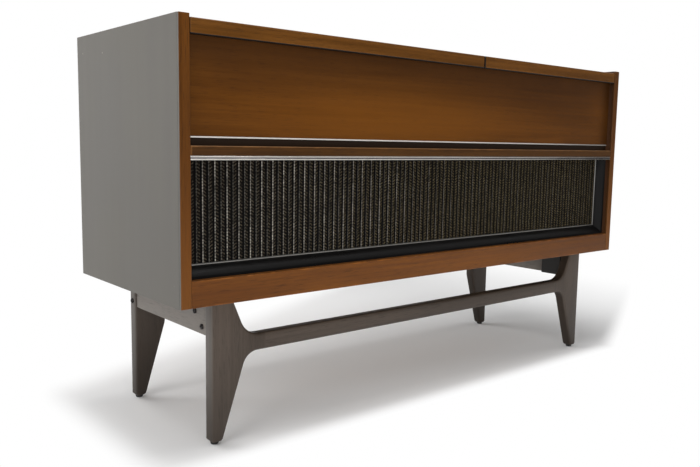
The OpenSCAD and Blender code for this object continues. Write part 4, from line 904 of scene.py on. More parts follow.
def flange_sheet(radius, centre, height):
    """The flange's middle surface in three sectors. In each, one parameter runs round the sector and the
    other from the window's edge, a rounded rectangle in angle and radius, out to the sector's edge."""
    a = np.linspace(0, 2 * np.pi, 96, endpoint=False)
    c, s = np.cos(a), np.sin(a)
    square = 1 / np.maximum(np.abs(c), np.abs(s))
    sector = np.stack([c * square, s * square], 1)
    softened = (np.abs(c) ** 7 + np.abs(s) ** 7) ** (-1 / 7)
    window = np.stack([c * softened, s * softened], 1)
    window = window * [window_turn / (np.pi / 3), (window_out - window_in) / (radius - hub_r)]
    window = window + [0, (window_out + window_in - radius - hub_r) / (radius - hub_r)]
    u = np.linspace(0, 1, 7)[:, None, None]
    grid = (1 - u) * window + u * sector
    distance = hub_r + (radius - hub_r) * (grid[..., 1] + 1) / 2
    shells = []
    for number in range(3):
        angle = grid[..., 0] * np.pi / 3 + number * 2 * np.pi / 3
        x = centre[0] + distance * np.cos(angle)
        y = centre[1] + distance * np.sin(angle)
        shells.append(skin(np.stack([x, y, np.full_like(x, height)], -1), loop_v=True))
    return shells


def wound_tape():
    """Edge of the wound tape: fine rings by distance from the reel's axis, which the piece carries as UV."""
    made = finish("wound_tape", {"Specular IOR Level": 0.5})
    ring = step(made, "UVMap", {}, 0, uv_map="from_axis")
    rings = noise(made, step(made, "Mapping", {"Vector": ring, "Scale": (900.0, 2.0, 1.0)}), 3.0)
    broad = noise(made, step(made, "Mapping", {"Vector": ring, "Scale": (160.0, 0.6, 1.0)}), 2.0)
    both = weighed(made, rings, 0.5, broad)
    colour = tint(made, spread(made, both, 0.35, 0.65), shade(48, 28, 18), shade(86, 54, 36))
    return dress(made, colour, spread(made, rings, 0.3, 0.7, 0.3, 0.45), rings, 0.00004)


def moulded(name, colour, rough):
    """Moulded plastic: slow clouds in the colour, finer ones in the gloss, and a slight relief."""
    made = finish(name, {"Specular IOR Level": 0.5})
    cloud = spread(made, noise(made, where(made, 22.0), 3.0), 0.4, 0.75, 0.0, 0.6)
    smear = noise(made, where(made, 160.0), 3.0)
    base = tint(made, cloud, colour, toned(colour, (0.86, 0.82, 0.72)))
    return dress(made, base, spread(made, smear, 0.3, 0.7, rough - 0.06, rough + 0.1), smear, 0.00002)


def from_axis_map(made, centre):
    """Gives a turned piece a UV map of (distance from its axis, angle in turns)."""
    mesh = made.data
    points = np.zeros(len(mesh.vertices) * 3)
    mesh.vertices.foreach_get("co", points)
    x, y = (points.reshape(-1, 3)[:, :2] - centre[:2]).T
    corner = np.zeros(len(mesh.loops), int)
    mesh.loops.foreach_get("vertex_index", corner)
    place = np.stack([np.hypot(x, y), np.arctan2(y, x) / (2 * np.pi)], 1)
    mesh.uv_layers.new(name="from_axis").data.foreach_set("uv", place[corner].ravel())


def standing(shell, centre):
    """A turned shell moved so that its axis stands at a centre."""
    return laid(shell, (centre[0], centre[1], 0))


reel_plastic = moulded("grey_polystyrene", shade(168, 172, 170), 0.22)
tape_brown = wound_tape()
satin_metal = metal("satin_aluminium", shade(196, 195, 191), 0.34, "X")
dark_plastic = moulded("dark_phenolic", shade(38, 34, 32), 0.28)


def reel(node, pack_r):
    """A reel in five pieces on its own body: the two flanges, the wound tape, the driven table with its
    shaft, the hub with its raised rim, and the locking cap. All but the flanges are turned."""
    low, high = corners(node)
    centre = (low + high) / 2
    radius = (high[0] - low[0]) / 2
    sheets = flange_sheet(radius, centre, flange_z + flange_t / 2)
    sheets += flange_sheet(radius, centre, reel_top - flange_t / 2)
    flanges = piece(node + "_flanges", sheets, node, reel_plastic, [node], sheet=True)
    flanges.modifiers.new("weld", "WELD").merge_threshold = 0.00002
    wall = flanges.modifiers.new("wall", "SOLIDIFY")
    wall.thickness = flange_t
    wall.offset = 0.0
    ease(flanges, 0.0004, 2, 50)
    pack_low = flange_z + flange_t + play
    pack_high = reel_top - flange_t - play
    pack = turned([
        (hub_r, pack_low), (pack_r - pack_edge, pack_low), (pack_r, pack_low + pack_edge),
        (pack_r, pack_high - pack_edge), (pack_r - pack_edge, pack_high), (hub_r, pack_high),
    ], 96)
    tape = piece(node + "_tape", [standing(pack, centre)], node, tape_brown, crease=30)
    from_axis_map(tape, centre)
    table_top = flange_z - play
    table = turned([
        (shaft_r, low[2]), (shaft_r, reel_seat),
        (table_r - table_edge, reel_seat), (table_r, reel_seat + table_edge),
        (table_r, table_top - table_edge), (table_r - table_edge, table_top),
    ], 64)
    piece(node + "_table", [standing(table, centre)], node, satin_metal, crease=30)
    rim_top = reel_top + hub_raised
    rim = turned([
        (hub_r + 0.0004, flange_z), (hub_r + 0.0004, reel_top), (hub_r - 0.001, rim_top), (well_r, rim_top),
        (well_r - 0.001, reel_top + well_floor), (pin_r, reel_top + well_floor),
    ], 64)
    hub = turned([
        (hub_r - hub_wall, pack_low), (hub_r + hub_lap, pack_low),
        (hub_r + hub_lap, pack_high), (hub_r - hub_wall, pack_high),
    ], 64)
    hub_shells = [standing(rim, centre), standing(hub, centre)]
    piece(node + "_hub", hub_shells, node, reel_plastic, crease=30)
    cap_top = high[2]
    lobes = np.array([
        (cap_r - 0.0045, reel_top + 0.0003, 0.004), (cap_r - 0.0005, reel_top + 0.0006, cap_waist),
        (cap_r, 0.3 * reel_top + 0.7 * cap_top, cap_waist), (cap_r - 0.001, cap_top - 0.0006, cap_waist),
        (cap_r - 0.0025, cap_top - 0.0001, 0.0065), (pin_r, cap_top - 0.0004, 0.0),
    ])
    cap = turned(lobes[:, :2], 72, 3, lobes[:, 2])
    piece(node + "_cap", [standing(cap, centre)], node, dark_plastic, crease=40)
    return centre


supply_centre = reel("supply_reel", full_r)
takeup_centre = reel("takeup_reel", low_r)

# Head cover: a satin aluminium pressing over the heads, open along a slot for the tape,
# in a front block and a low rear wall on one foot, with dark ribs on its front.
head_low, head_high = corners("head_cover")
head_corner = 0.008
block_corner = 0.005
wall_corner = 0.0039
slot_back = 0.008
slot_w = 0.006
head_foot_h = 0.004
head_foot = head_low[2] + head_foot_h
slot_y1 = head_high[1] - slot_back
slot_y0 = slot_y1 - slot_w
rib_inset = 0.012
rib_h = 0.0016
rib_out = 0.0005
rib_in = 0.001
rib_first = 0.009
rib_last = 0.008


def round_rect(low, high, radius, steps=5):
    """Plan of a rectangle between two corners with a quarter circle at each, counter-clockwise."""
    a = np.linspace(0, np.pi / 2, steps + 1)[None, :] + np.arange(4)[:, None] * np.pi / 2
    x = np.array([high[0] - radius, low[0] + radius, low[0] + radius, high[0] - radius])[:, None]
    y = np.array([high[1] - radius, high[1] - radius, low[1] + radius, low[1] + radius])[:, None]
    return np.stack([x + radius * np.cos(a), y + radius * np.sin(a)], -1).reshape(-1, 2)


def slab(outline, bottom, top):
    """A plan outline carried straight up."""
    return stacked(outline, [(0.0, bottom), (0.0, top)])


foot = slab(round_rect(head_low, head_high, head_corner), head_low[2], head_foot)
block_plan = round_rect(head_low, (head_high[0], slot_y0), block_corner)
block = stacked(block_plan, eased_levels(head_foot, head_high[2], 0.004))
wall_plan = round_rect((head_low[0], slot_y1), head_high, wall_corner)
wall = stacked(wall_plan, eased_levels(head_foot, head_high[2], 0.002))
cover = [foot, block, wall]
piece("head_cover_shell", cover, "cabinet", satin_metal, ["head_cover"], crease=40)
rib_low = (head_low[0] + rib_inset, head_low[1] - rib_out)
rib_high = (head_high[0] - rib_inset, head_low[1] + rib_in)
rib_plan = round_rect(rib_low, rib_high, 0.0005, 3)
rib_places = np.linspace(head_low[2] + rib_first, head_high[2] - rib_last, 5)
ribs = [stacked(rib_plan, eased_levels(z, z + rib_h, 0.0004, 0.0004, 2)) for z in rib_places]
piece("head_cover_ribs", ribs, "cabinet", dark_plastic, crease=40)

# Tape: a brown ribbon from the outside of the full reel, through the slot past the heads
# and on to the outside of the other reel, standing on edge between the flanges.
tape_play = 0.00015
tape_w = 0.0062
tape_low = flange_z + flange_t + tape_play
tape_high = tape_low + tape_w
tape_half = 0.00012
slot_y = (slot_y0 + slot_y1) / 2
slot_end = 0.004


def tangent(point, centre, radius, side):
    """Where the line from a point touches a circle, on one side: the circle's point at the angle
    acos(radius / distance) from the line of centres."""
    away = point - centre[:2]
    angle = math.atan2(away[1], away[0]) + side * math.acos(radius / np.linalg.norm(away))
    return centre[:2] + radius * np.array([math.cos(angle), math.sin(angle)])


entry = np.array([head_low[0] + slot_end, slot_y])
leave = np.array([head_high[0] - slot_end, slot_y])
from_supply = tangent(entry, supply_centre, full_r, -1)
to_takeup = tangent(leave, takeup_centre, low_r, 1)
route = np.array([from_supply, entry, leave, to_takeup])
way = np.gradient(route, axis=0)
way = way / np.linalg.norm(way, axis=1, keepdims=True)
aside = tape_half * np.stack([-way[:, 1], way[:, 0]], 1)
section = [(aside, tape_low), (-aside, tape_low), (-aside, tape_high), (aside, tape_high)]
ribbon = np.stack([np.column_stack([route + off, np.full(len(route), z)]) for off, z in section], 1)
tape_finish = coated("tape_coating", shade(74, 46, 30), 0.3)
piece("tape_ribbon", [skin(ribbon, loop_v=True, caps=True)], "cabinet", tape_finish, crease=20)

# Transport keys: four moulded keys with a sloped, rounded front, ivory but for the red
# record key. Each carries a printed sign and slides on a stem through the deck plate.
key_edge = 0.0022
key_corner = 0.003
key_slope = 0.4
key_nose = 0.55
key_gap = 0.006
key_bottom = plate_top + key_gap
stem_half = np.array([0.008, 0.003])
sign_size = 0.0045
sign_place = 0.66
ivory = moulded("ivory_plastic", shade(206, 194, 164), 0.3)
red = moulded("red_plastic", shade(142, 34, 26), 0.3)
print_dark = coated("printed_dark", shade(44, 40, 38), 0.5)
print_pale = coated("printed_pale", shade(214, 206, 186), 0.5)


def key_body(low, high):
    """A slab with rounded edges whose height is cut down towards the front: above the foot the height is
    scaled by a factor that rises smoothly from key_nose at the front to 1 at key_slope of the depth."""
    levels = eased_levels(low[2], high[2], key_edge, 0.0006, 5)
    points, faces = stacked(round_rect(low, high, key_corner), levels)
    t = np.clip((points[:, 1] - low[1]) / (key_slope * (high[1] - low[1])), 0, 1)
    cut = key_nose + (1 - key_nose) * np.sin(t * np.pi / 2)
    height = low[2] + (points[:, 2] - low[2]) * cut
    return np.column_stack([points[:, :2], height]), faces


arrow = np.array([[-0.6, -0.8], [0.9, 0.0], [-0.6, 0.8]])
back_arrow = arrow[::-1] * [-0.8, 0.8]
square = np.array([[-0.7, -0.7], [0.7, -0.7], [0.7, 0.7], [-0.7, 0.7]])
a = np.linspace(0, 2 * np.pi, 24, endpoint=False)
dot = 0.8 * np.stack([np.cos(a), np.sin(a)], 1)
keys = [
    ("key_rewind", [back_arrow + [-0.6, 0], back_arrow + [0.75, 0]], ivory, "ivory", print_dark),
    ("key_stop", [square], ivory, "ivory", print_dark),
    ("key_play", [arrow], ivory, "ivory", print_dark),
    ("key_record", [dot], red, "red", print_pale),
]
for node, shapes, plastic, plastic_slot, ink in keys:
    low, high = corners(node)
    middle = (low + high)[:2] / 2
    cap = key_body(np.array([low[0], low[1], key_bottom]), high)
    stem = slab(round_rect(middle - stem_half, middle + stem_half, 0.001, 2), low[2], key_bottom + 0.001)
    piece(node + "_cap", [cap, stem], node, plastic, [node], crease=40)
    at = np.array([middle[0], low[1] + sign_place * (high[1] - low[1])])
    marks = [slab(at + sign_size * shape, high[2] - 0.0001, high[2] + 0.00012) for shape in shapes]
    piece(node + "_sign", marks, node, ink, crease=20)

# Tuner panel: a cast panel in black crackle enamel with a sunk dial well, screwed to the
# deck board. The dial's scales are printed on a sheet in the well, under a glass.
panel_top = corners("tuner_panel")[1][2]
glass_low, glass_high = corners("dial_glass")
ledge = 0.0047
well_low = glass_low[:2] + ledge
well_high = glass_high[:2] - ledge
well_depth = 0.005
well_z = glass_low[2] - well_depth
paper_play = 0.0004
paper_t = 0.0002
ink_t = 0.00004
print_z = well_z + paper_t
dial_margin = 0.026
dial_span = (well_low[0] + dial_margin, well_high[0] - dial_margin)
figure_size = 0.0085
scale_drop = 0.008
scale_w = 0.0006
tick_long = 0.0036
tick_short = 0.002
bezel_w = 0.0035


def crackle():
    """Wrinkle enamel: a network of ridges from the distance to the edges of random cells."""
    made = finish("crackle_enamel", {"Specular IOR Level": 0.5})
    bend = noise(made, where(made, 300.0), 2.0)
    bent = step(made, "VectorMath", {0: where(made, 520.0), 1: bend}, operation="ADD")
    cells = step(made, "TexVoronoi", {"Vector": bent, "Scale": 1.0}, feature="DISTANCE_TO_EDGE")
    ridge = spread(made, cells, 0.0, 0.22)
    colour = tint(made, ridge, shade(34, 34, 36), shade(52, 52, 55))
    return dress(made, colour, spread(made, ridge, 0.0, 1.0, 0.55, 0.38), ridge, 0.00016)


def printed_number(text, size, centre, height):
    """A number as flat printing: the text's outline made a thin mesh and put at its place."""
    curve = bpy.data.curves.new("number", "FONT")
    curve.body = text
    curve.size = size
    curve.align_x = "CENTER"
    curve.align_y = "CENTER"
    curve.extrude = ink_t / 2
    curve.resolution_u = 3
    holder = bpy.data.objects.new("number", curve)
    mesh = holder.to_mesh()
    points = np.zeros(len(mesh.vertices) * 3)
    mesh.vertices.foreach_get("co", points)
    faces = [list(polygon.vertices) for polygon in mesh.polygons]
    holder.to_mesh_clear()
    bpy.data.objects.remove(holder)
    bpy.data.curves.remove(curve)
    return points.reshape(-1, 3) + [centre[0], centre[1], height], faces


def bar(low, high, bottom, top):
    """A thin printed line or block between two plan corners."""
    radius = 0.2 * min(high[0] - low[0], high[1] - low[1])
    return slab(round_rect(low, high, radius, 1), bottom, top)


def dial_row(share, labels):
    """One scale of the dial, at a share of the well's depth: a line with a long tick under each number and
    four short ones between."""
    y = well_low[1] + share * (well_high[1] - well_low[1])
    foot = y - scale_drop
    ink_top = print_z + ink_t
    shells = [bar((dial_span[0], foot), (dial_span[1], foot + scale_w), print_z, ink_top)]
    for x, label in zip(np.linspace(*dial_span, len(labels)), labels):
        shells.append(printed_number(label, figure_size, (x, y), print_z + ink_t / 2))
    for number, x in enumerate(np.linspace(*dial_span, 5 * (len(labels) - 1) + 1)):
        tall = tick_short if number % 5 else tick_long
        shells.append(bar((x - scale_w / 2, foot), (x + scale_w / 2, foot + tall), print_z, ink_top))
    return shells


keep("tuner_panel", crackle(), 0.001)
corner_screws("tuner_panel_screws", "tuner_panel", panel_top)
paper_plan = round_rect(well_low + paper_play, well_high - paper_play, 0.001, 2)
dial_paper = coated("dial_paper", shade(38, 36, 34), 0.55, 0.00002)
piece("dial_scale_sheet", [slab(paper_plan, well_z, print_z)], "cabinet", dial_paper)
printing = dial_row(0.74, ["88", "90", "92", "94", "96", "98", "100", "102", "104", "106", "108"])
printing += dial_row(0.30, ["54", "60", "70", "80", "100", "120", "140", "160"])
dial_ink = coated("dial_ink", shade(226, 208, 160), 0.5, 0.00001)
piece("dial_scale_print", printing, "cabinet", dial_ink, crease=20)
dial_glass = finish("dial_glass_clear", {"Roughness": 0.03, "Transmission Weight": 1.0, "IOR": 1.45})
haze = noise(dial_glass, where(dial_glass, 60.0), 3.0)
dress(dial_glass, rough=spread(dial_glass, haze, 0.4, 0.7, 0.01, 0.06))
keep("dial_glass", dial_glass, 0.0004, 2)
outer = round_rect(glass_low - bezel_w, glass_high + bezel_w, 0.004)
inner = round_rect(glass_low, glass_high, 0.0006)
crest = 0.6 * outer + 0.4 * inner
bezel_section = [(outer, 0.0), (outer, 0.001), (crest, 0.0018), (inner, 0.001), (inner, 0.0)]
bezel = np.stack([np.column_stack([plan, np.full(len(plan), panel_top + z)]) for plan, z in bezel_section])
piece("dial_bezel", [skin(bezel, True, True)], "cabinet", satin_metal, crease=30)

# Dial pointer: a red needle on a small carriage that slides along the foot of the well,
# drawn by a cord from the tuning knob.
low, high = corners("dial_pointer")
needle_x = (low[0] + high[0]) / 2
needle_half = 0.0008
needle_low = low[2] + 0.0008
needle_high = low[2] + 0.0019
carriage_w = 0.0077
taper = needle_half * np.array([-1, 1, 0.5, -0.5])
needle_plan = np.column_stack([needle_x + taper, [low[1], low[1], high[1], high[1]]])
needle = stacked(needle_plan, eased_levels(needle_low, needle_high, 0.0003, steps=2))
carriage_plan = round_rect(low, (high[0], low[1] + carriage_w), 0.0015, 3)
carriage = stacked(carriage_plan, eased_levels(low[2], high[2], 0.0005, steps=3))
piece("dial_needle", [needle, carriage], "dial_pointer", red, ["dial_pointer"], crease=30)

# Knobs: ivory plastic with a smooth skirt and a fluted grip, a turned metal cap let into
# the top and a dark line to read them by. Each is pushed on its shaft.
knob_skirt = 0.004
knob_step = 0.003
flute_pitch = 0.0034
flute_depth = 0.0006
disc_inset = 0.0041
knob_shaft_r = 0.003
line_half = 0.0006
tick_start = 0.003
tick_end = 0.006
tick_half = 0.0004


def knob(node, seat):
    """A knob in three pieces on its own body. The body is turned, and fluted between skirt and top edge, the
    disc is turned with fine rings, a cosine of the radius, and the line lies on the skirt."""
    low, high = corners(node)
    centre = (low + high) / 2
    radius = (high[0] - low[0]) / 2
    grip = radius - knob_step
    top = high[2]
    foot = seat + running_gap
    skirt = seat + knob_skirt
    rows = np.array([
        (knob_shaft_r, low[2], 0), (knob_shaft_r, foot, 0), (radius - 0.0012, foot, 0),
        (radius - 0.0002, foot + 0.0006, 0), (radius, foot + 0.0016, 0), (radius, skirt - 0.0008, 0),
        (radius - 0.0007, skirt, 0), (grip + 0.0006, skirt + 0.0005, 0), (grip, skirt + 0.0014, 0),
        (grip - 0.0001, skirt + 0.0026, 1), (grip - 0.0008, top - 0.0026, 1),
        (grip - 0.0012, top - 0.0013, 0.6), (grip - 0.0020, top - 0.0004, 0.2), (grip - 0.0031, top, 0),
        (grip - 0.0038, top - 0.0003, 0), (grip - 0.0040, top - 0.0012, 0),
    ])
    flutes = 2 * round(grip * np.pi / flute_pitch)
    body = turned(rows[:, :2], 6 * flutes, flutes, flute_depth * rows[:, 2])
    piece(node + "_body", [standing(body, centre)], node, ivory, [node], crease=42)
    disc_r = grip - disc_inset
    q = np.linspace(1, 0.06, 22)
    rise = top - 0.0008 + 0.0007 * (1 - q * q) + 0.00012 * np.cos(40 * q)
    disc = turned(np.vstack([[disc_r, top - 0.0013], np.column_stack([disc_r * q, rise])]), 48)
    piece(node + "_disc", [standing(disc, centre)], node, satin_metal, crease=30)
    line = bar((-line_half, grip + 0.0003), (line_half, radius - 0.0006), skirt, skirt + 0.0006)
    piece(node + "_line", [standing(line, centre)], node, print_dark, crease=30)
    return centre, radius


def tick_ring(centre, radius, sweep, count, height):
    """Printed ticks round a knob: short bars at even angles over its sweep, turned to point at the axis."""
    tick = bar((radius + tick_start, -tick_half), (radius + tick_end, tick_half), 0.0, 2 * ink_t)
    shells = []
    for angle in np.radians(np.linspace(90 + sweep, 90 - sweep, count)):
        out = (math.cos(angle), math.sin(angle), 0)
        side = (-math.sin(angle), math.cos(angle), 0)
        shells.append(laid(tick, (centre[0], centre[1], height), out, side))
    return shells


ticks = []
dials = [("volume_knob", 150, 11), ("tone_knob", 150, 11), ("selector_knob", 60, 4), ("tuning_knob", 0, 1)]
for node, sweep, count in dials:
    ticks += tick_ring(*knob(node, panel_top), sweep, count, panel_top)
piece("knob_scale_marks", ticks, "cabinet", print_pale, crease=20)

# Record changer base: a pressed plate in champagne enamel with the arm's rest post, hung
# on the deck board by four screws.
changer_t = 0.009
changer_top = corners("deck_board_right")[1][2] + changer_t
keep("changer_base", enamel, 0.001)
corner_screws("changer_screws", "changer_base", changer_top)

# Platter: a turned aluminium platter with a bevelled rim, and a black rubber mat with
# raised rings and a flat middle laid in its bed. A chromed spindle stands through both.
low, high = corners("platter")
platter_centre = (low + high) / 2
platter_r = (high[0] - low[0]) / 2
platter_top = high[2]
platter_lip = 0.006
platter_bed = 0.0015
spindle_clear = 0.0039
lip_r = platter_r - platter_lip
bed = platter_top - platter_bed
rim = turned([
    (spindle_clear, low[2]), (lip_r, low[2]), (platter_r - 0.0006, low[2] + platter_lip),
    (platter_r, low[2] + platter_lip + 0.0012), (platter_r, platter_top - 0.0052),
    (platter_r - 0.0008, platter_top - 0.0046), (platter_r - 0.0008, platter_top - 0.0038),
    (platter_r, platter_top - 0.0032), (platter_r, platter_top - 0.0016),
    (platter_r - 0.0006, platter_top - 0.0005), (platter_r - 0.0018, platter_top),
    (lip_r + 0.0005, platter_top), (lip_r, platter_top - 0.0005), (lip_r, bed), (spindle_clear, bed),
], 128, ring=True)
platter_metal = metal("turned_aluminium", shade(184, 183, 180), 0.3, "Z")
rim = standing(rim, platter_centre)
piece("platter_body", [rim], "platter", platter_metal, ["platter"], crease=24)
mat_r = lip_r - 0.0004
mat_edge = 0.001
mat_low = bed + 0.0001
mat_rings = 30
ring_h = 0.00045
label_r = 0.050
spindle_hole = 0.012
q = np.linspace(0, 1, 210)
wave = ring_h * (0.5 - 0.5 * np.cos(2 * np.pi * mat_rings * q)) ** 0.7
wave = wave * np.clip(np.minimum(q, 1 - q) * 40, 0, 1)
ringed_r = mat_r - mat_edge + (label_r - mat_r + mat_edge) * q
mat = turned(np.vstack([
    [(spindle_clear, mat_low), (mat_r, mat_low), (mat_r, platter_top - 0.0009)],
    np.column_stack([ringed_r, platter_top - 0.0006 + wave]),
    [(label_r - 0.001, platter_top - 0.0001), (label_r - 0.0018, platter_top + 0.0003)],
    [(spindle_hole, platter_top + 0.0003), (spindle_hole - 0.001, platter_top - 0.0002)],
    [(spindle_clear, platter_top - 0.0002)],
]), 128, ring=True)
mat_rubber = coated("mat_rubber", shade(44, 43, 42), 0.62, 0.00003, 900.0)
piece("platter_mat", [standing(mat, platter_centre)], "platter", mat_rubber, crease=60)
keep("spindle", metal("chromed_steel", shade(214, 214, 212), 0.14, "Z", worn=0.1))

# Tone arm: a housing with a fork that turns on the base, and an aluminium tube on a
# cross pivot with a moulded head, a stylus and a sliding counterweight. The changer's
# control knob is made like the tuner's.
yoke_low, yoke_high = corners("arm_yoke")
yoke_r = (yoke_high[0] - yoke_low[0]) / 2
pivot_z = 0.6993
pivot = np.array([*(yoke_low + yoke_high)[:2] / 2, pivot_z])
base = changer_top + running_gap
housing_top = pivot[2] - 0.012
housing_pin = 0.005
fork_in = 0.012
fork_t = 0.004
fork_half = 0.008
arm_r = 0.0045
arm_l = 0.204
collar = 0.170
collar_l = 0.0092
collar_edge = 0.0012
tube_edge = 0.0008
block_half = 0.008
cross_half = 0.0163
weight_back = 0.030
weight_l = 0.026
weight_r = 0.011
weight_edge = 0.001
tail = weight_back + 0.013
shell_l = 0.036
shell_half = 0.009
arm_reach = 0.228
shell_front = pivot[1] - arm_reach - 0.22 * shell_l
stylus_place = 0.36
lift_place = (pivot[0] + 0.0075, shell_front + 0.012, pivot[2] - 0.001)


def head_shell():
    """The moulded head: rings of a rounded rectangle whose width and depth swell and taper along the arm.
    One parameter runs along the head and the other round its section."""
    s = np.linspace(0, 1, 15)[:, None]
    a = np.linspace(0, 2 * np.pi, 28, endpoint=False)[None, :]
    wide = shell_half * (0.62 + 0.38 * np.sin(np.pi * (0.12 + 0.7 * s)))
    top = shell_l * np.interp(s, [0, 0.28, 1], [0.02, 0.14, 0.14])
    bottom = shell_l * np.interp(s, [0, 0.5, 1], [-0.20, -0.34, -0.24])
    c, d = np.cos(a), np.sin(a)
    soft = (np.abs(c) ** 4 + np.abs(d) ** 4) ** -0.25
    x = pivot[0] + wide * c * soft
    z = pivot[2] + (top + bottom) / 2 + (top - bottom) / 2 * d * soft
    y = np.broadcast_to(shell_front + shell_l * s, x.shape)
    return skin(np.stack([x, y, z], -1), loop_v=True, caps=True)


housing = turned([
    (housing_pin, yoke_low[2]), (housing_pin, base), (yoke_r - 0.0006, base), (yoke_r, base + 0.0006),
    (yoke_r, base + 0.004), (yoke_r - 0.0018, base + 0.0052), (yoke_r - 0.0026, housing_top - 0.004),
    (yoke_r - 0.0036, housing_top - 0.0014), (yoke_r - 0.006, housing_top - 0.0003),
    (yoke_r - 0.009, housing_top), (0.002, housing_top),
], 64)
a = np.linspace(0, np.pi, 13)
cheek_foot = housing_top - 0.0005 - pivot[2]
cheek_arc = fork_half * np.stack([np.cos(a), np.sin(a)], 1)
cheek_plan = np.vstack([[fork_half, cheek_foot], cheek_arc, [-fork_half, cheek_foot]])
cheek = stacked(cheek_plan, eased_levels(0.0, fork_t, 0.0008, 0.0008, 2))
yoke = [standing(housing, pivot)]
for side in (-1, 1):
    yoke.append(laid(cheek, pivot + [side * fork_in, 0, 0], (0, 1, 0), (0, 0, 1), (side, 0, 0)))
piece("arm_housing", yoke, "arm_yoke", ivory, ["arm_yoke"], crease=36)
collar_r = arm_r + tube_edge
tube = turned([
    (arm_r - tube_edge, -tail), (arm_r, tube_edge - tail), (arm_r, collar), (collar_r, collar + collar_edge),
    (collar_r, collar + collar_l - collar_edge), (arm_r, collar + collar_l), (arm_r, arm_l),
], 32)
block_plan = round_rect((-block_half, -block_half), (block_half, block_half), 0.002)
block = stacked(block_plan, eased_levels(-0.006, 0.006, 0.0012, 0.0012, 3))
cross = turned([(0.002, -cross_half), (0.002, cross_half)], 20)
arm_metal = metal("arm_aluminium", shade(206, 205, 202), 0.26, "Y")
arm = [
    laid(tube, pivot, (1, 0, 0), (0, 0, 1), (0, -1, 0)),
    laid(block, pivot),
    laid(cross, pivot, (0, 1, 0), (0, 0, 1), (1, 0, 0)),
]
piece("arm_tube", arm, "tone_arm", arm_metal, ["tone_arm"], crease=36)
knurl = np.array([
    (weight_r - weight_edge, 0.0, 0), (weight_r, weight_edge, 0), (weight_r, 0.004, 0), (weight_r, 0.005, 1),
    (weight_r, weight_l - 0.008, 1), (weight_r, weight_l - 0.007, 0), (weight_r, weight_l - weight_edge, 0),
    (weight_r - weight_edge, weight_l, 0),
])
weight = turned(knurl[:, :2], 180, 45, 0.0005 * knurl[:, 2])
weight = laid(weight, pivot + [0, weight_back, 0], (1, 0, 0), (0, 0, -1), (0, 1, 0))
piece("arm_counterweight", [weight], "tone_arm", dark_steel, crease=36)
lift_plan = np.array([[0.0, -0.0012], [0.009, -0.002], [0.0105, 0.0], [0.009, 0.002], [0.0, 0.0012]])
lift = laid(stacked(lift_plan, eased_levels(0.0, 0.0012, 0.0004, 0.0004, 2)), lift_place)
piece("arm_head", [head_shell(), lift], "tone_arm", ivory, crease=50)
stylus = turned([(0.0003, -0.0026), (0.0009, 0.0), (0.0018, 0.001), (0.0018, 0.003)], 16)
stylus = laid(stylus, (pivot[0], shell_front + stylus_place * shell_l, pivot[2] - stylus_place * shell_l))
piece("arm_stylus", [stylus], "tone_arm", dark_steel, crease=50)
knob("changer_knob", changer_top)

# Studio: a pale floor that keeps the shadow under the object and runs out to white round
# it, a white room that is dimmer in reflections towards the front right, and five soft
# lamps: windows at the left and behind, one overhead, and fills from right and front.
floor_half = 2.6
floor_fade = 0.17
left_rate = 1.8
shadow_slope = 0.47
shadow_reach = 0.15
front_start = 0.03
front_rate = 2.4
room_light = 0.25
room_dim = 0.14
dim_side = (0.72, -0.62, -0.45)
white = (1.0, 1.0, 1.0, 1.0)
scene = bpy.context.scene


def rays(made, *kinds):
    """1 for rays of these kinds."""
    flags = [step(made, "LightPath", {}, "Is " + kind + " Ray") for kind in kinds]
    share = flags[0]
    for flag in flags[1:]:
        share = maths(made, "MAXIMUM", share, flag)
    return share


def past(made, value, edge, rate=1.0):
    """How far a value lies past an edge, or short of it if the rate is negative, times the rate's size."""
    ends = (value, edge) if rate > 0 else (edge, value)
    return times(made, maths(made, "MAXIMUM", maths(made, "SUBTRACT", *ends), 0.0), abs(rate))


def pale_floor():
    """White paint that fades to plain white by distance from the object's shadow: the shadow's outline is
    the object's own plan, sheared towards the back as it goes right."""
    paint = {"Base Color": (0.9, 0.9, 0.9, 1.0), "Roughness": 0.9, "Specular IOR Level": 0.0}
    made = finish("pale_floor", paint)
    x = axis(made, "X")
    y = axis(made, "Y")
    left = past(made, x, cad_low[0], -left_rate)
    aside = maths(made, "ADD", left, past(made, x, cad_high[0], shadow_reach))
    front_line = maths(made, "ADD", past(made, x, cad_high[0], shadow_slope), cad_low[1])
    before = past(made, maths(made, "SUBTRACT", y, front_line), front_start, -front_rate)
    rear_line = maths(made, "ADD", past(made, x, cad_low[0], shadow_slope), cad_high[1])
    behind = past(made, maths(made, "SUBTRACT", y, rear_line), 0.0)
    away = step(made, "CombineXYZ", {0: aside, 1: maths(made, "ADD", before, behind)})
    away = step(made, "VectorMath", {0: away}, "Value", operation="LENGTH")
    seen = rays(made, "Camera", "Glossy", "Transmission")
    fade = times(made, spread(made, away, 0.0, floor_fade), seen)
    plain = step(made, "Emission", {"Color": white, "Strength": 1.0})
    nodes = made.node_tree.nodes
    shown = step(made, "MixShader", {0: fade, 1: nodes["Principled BSDF"].outputs[0], 2: plain})
    made.node_tree.links.new(shown, nodes["Material Output"].inputs[0])
    return made


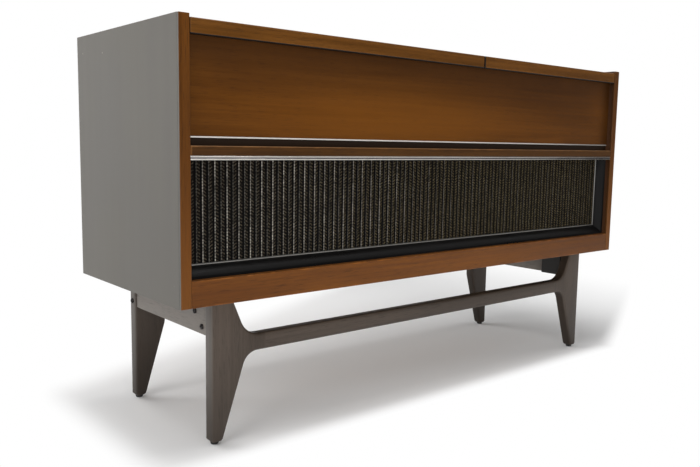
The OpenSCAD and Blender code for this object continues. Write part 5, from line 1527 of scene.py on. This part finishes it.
def white_room():
    """A world that is white to the camera and through glass, white with a dim side in reflections, and a
    weak even light on everything else."""
    made = bpy.data.worlds.new("studio")
    made.use_nodes = True
    way = step(made, "TexCoord", {}, "Generated")
    towards = step(made, "VectorMath", {0: way, 1: dim_side}, "Value", operation="DOT_PRODUCT")
    mirrored = times(made, spread(made, towards, 0.0, 0.75, 1.0, room_dim), rays(made, "Glossy"))
    others = maths(made, "SUBTRACT", 1.0, rays(made, "Camera", "Glossy", "Transmission"))
    strength = maths(made, "ADD", mirrored, times(made, others, room_light))
    strength = maths(made, "ADD", strength, rays(made, "Camera", "Transmission"))
    background = made.node_tree.nodes["Background"]
    background.inputs["Color"].default_value = white
    made.node_tree.links.new(strength, background.inputs["Strength"])
    return made


def softbox(name, place, target, size, power):
    """A rectangular soft light at a place, facing its target."""
    lamp = bpy.data.lights.new(name, "AREA")
    lamp.shape = "RECTANGLE"
    lamp.size, lamp.size_y = size
    lamp.energy = power
    made = bpy.data.objects.new(name, lamp)
    made.location = place
    made.rotation_mode = "QUATERNION"
    made.rotation_quaternion = (Vector(target) - Vector(place)).to_track_quat("-Z", "Y")
    scene.collection.objects.link(made)
    return made


edge = np.linspace(-floor_half, floor_half, 3)
floor_points, floor_faces = skin(np.stack(np.broadcast_arrays(edge[None, :], edge[:, None], 0.0), -1))
floor_mesh = bpy.data.meshes.new("floor")
floor_mesh.from_pydata(floor_points.tolist(), [], floor_faces)
floor_mesh.materials.append(pale_floor())
floor = bpy.data.objects.new("floor", floor_mesh)
scene.collection.objects.link(floor)
scene.world = white_room()
softbox("left_window", (-2.5, -0.6, 1.5), (0.0, 0.0, 0.4), (1.6, 1.4), 19.0)
softbox("rear_window", (-1.3, 2.4, 1.0), (0.0, 0.0, 0.1), (2.6, 1.2), 50.0).visible_glossy = False
softbox("overhead", (-0.2, -0.2, 3.0), (0.0, -0.1, 0.4), (1.8, 1.0), 38.0)
softbox("right_fill", (2.7, -0.4, 0.55), (0.0, 0.0, 0.5), (1.6, 0.8), 13.0).visible_glossy = False
softbox("front_fill", (-1.4, -2.8, 0.6), (0.0, 0.0, 0.45), (1.8, 0.9), 28.0).visible_glossy = False

# Camera: the photograph's viewpoint, left of the front and below the lids' height, with
# the lens and the slight roll that fit the cabinet's corners.
yaw = math.radians(40.07)
pitch = math.radians(6.86)
roll = math.radians(0.97)
ahead = Vector((math.sin(yaw) * math.cos(pitch), math.cos(yaw) * math.cos(pitch), -math.sin(pitch)))
level_right = Vector((math.cos(yaw), -math.sin(yaw), 0.0))
level_up = level_right.cross(ahead)
right = math.cos(roll) * level_right + math.sin(roll) * level_up
up = math.cos(roll) * level_up - math.sin(roll) * level_right
lens = bpy.data.cameras.new("camera")
lens.lens = 38.51
lens.sensor_width = 36.0
camera = bpy.data.objects.new("camera", lens)
camera.matrix_world = Matrix((right, up, -ahead)).transposed().to_4x4()
camera.location = (-1.3141, -1.4297, 0.5914)
scene.collection.objects.link(camera)
scene.camera = camera
scene.view_settings.view_transform = "Standard"
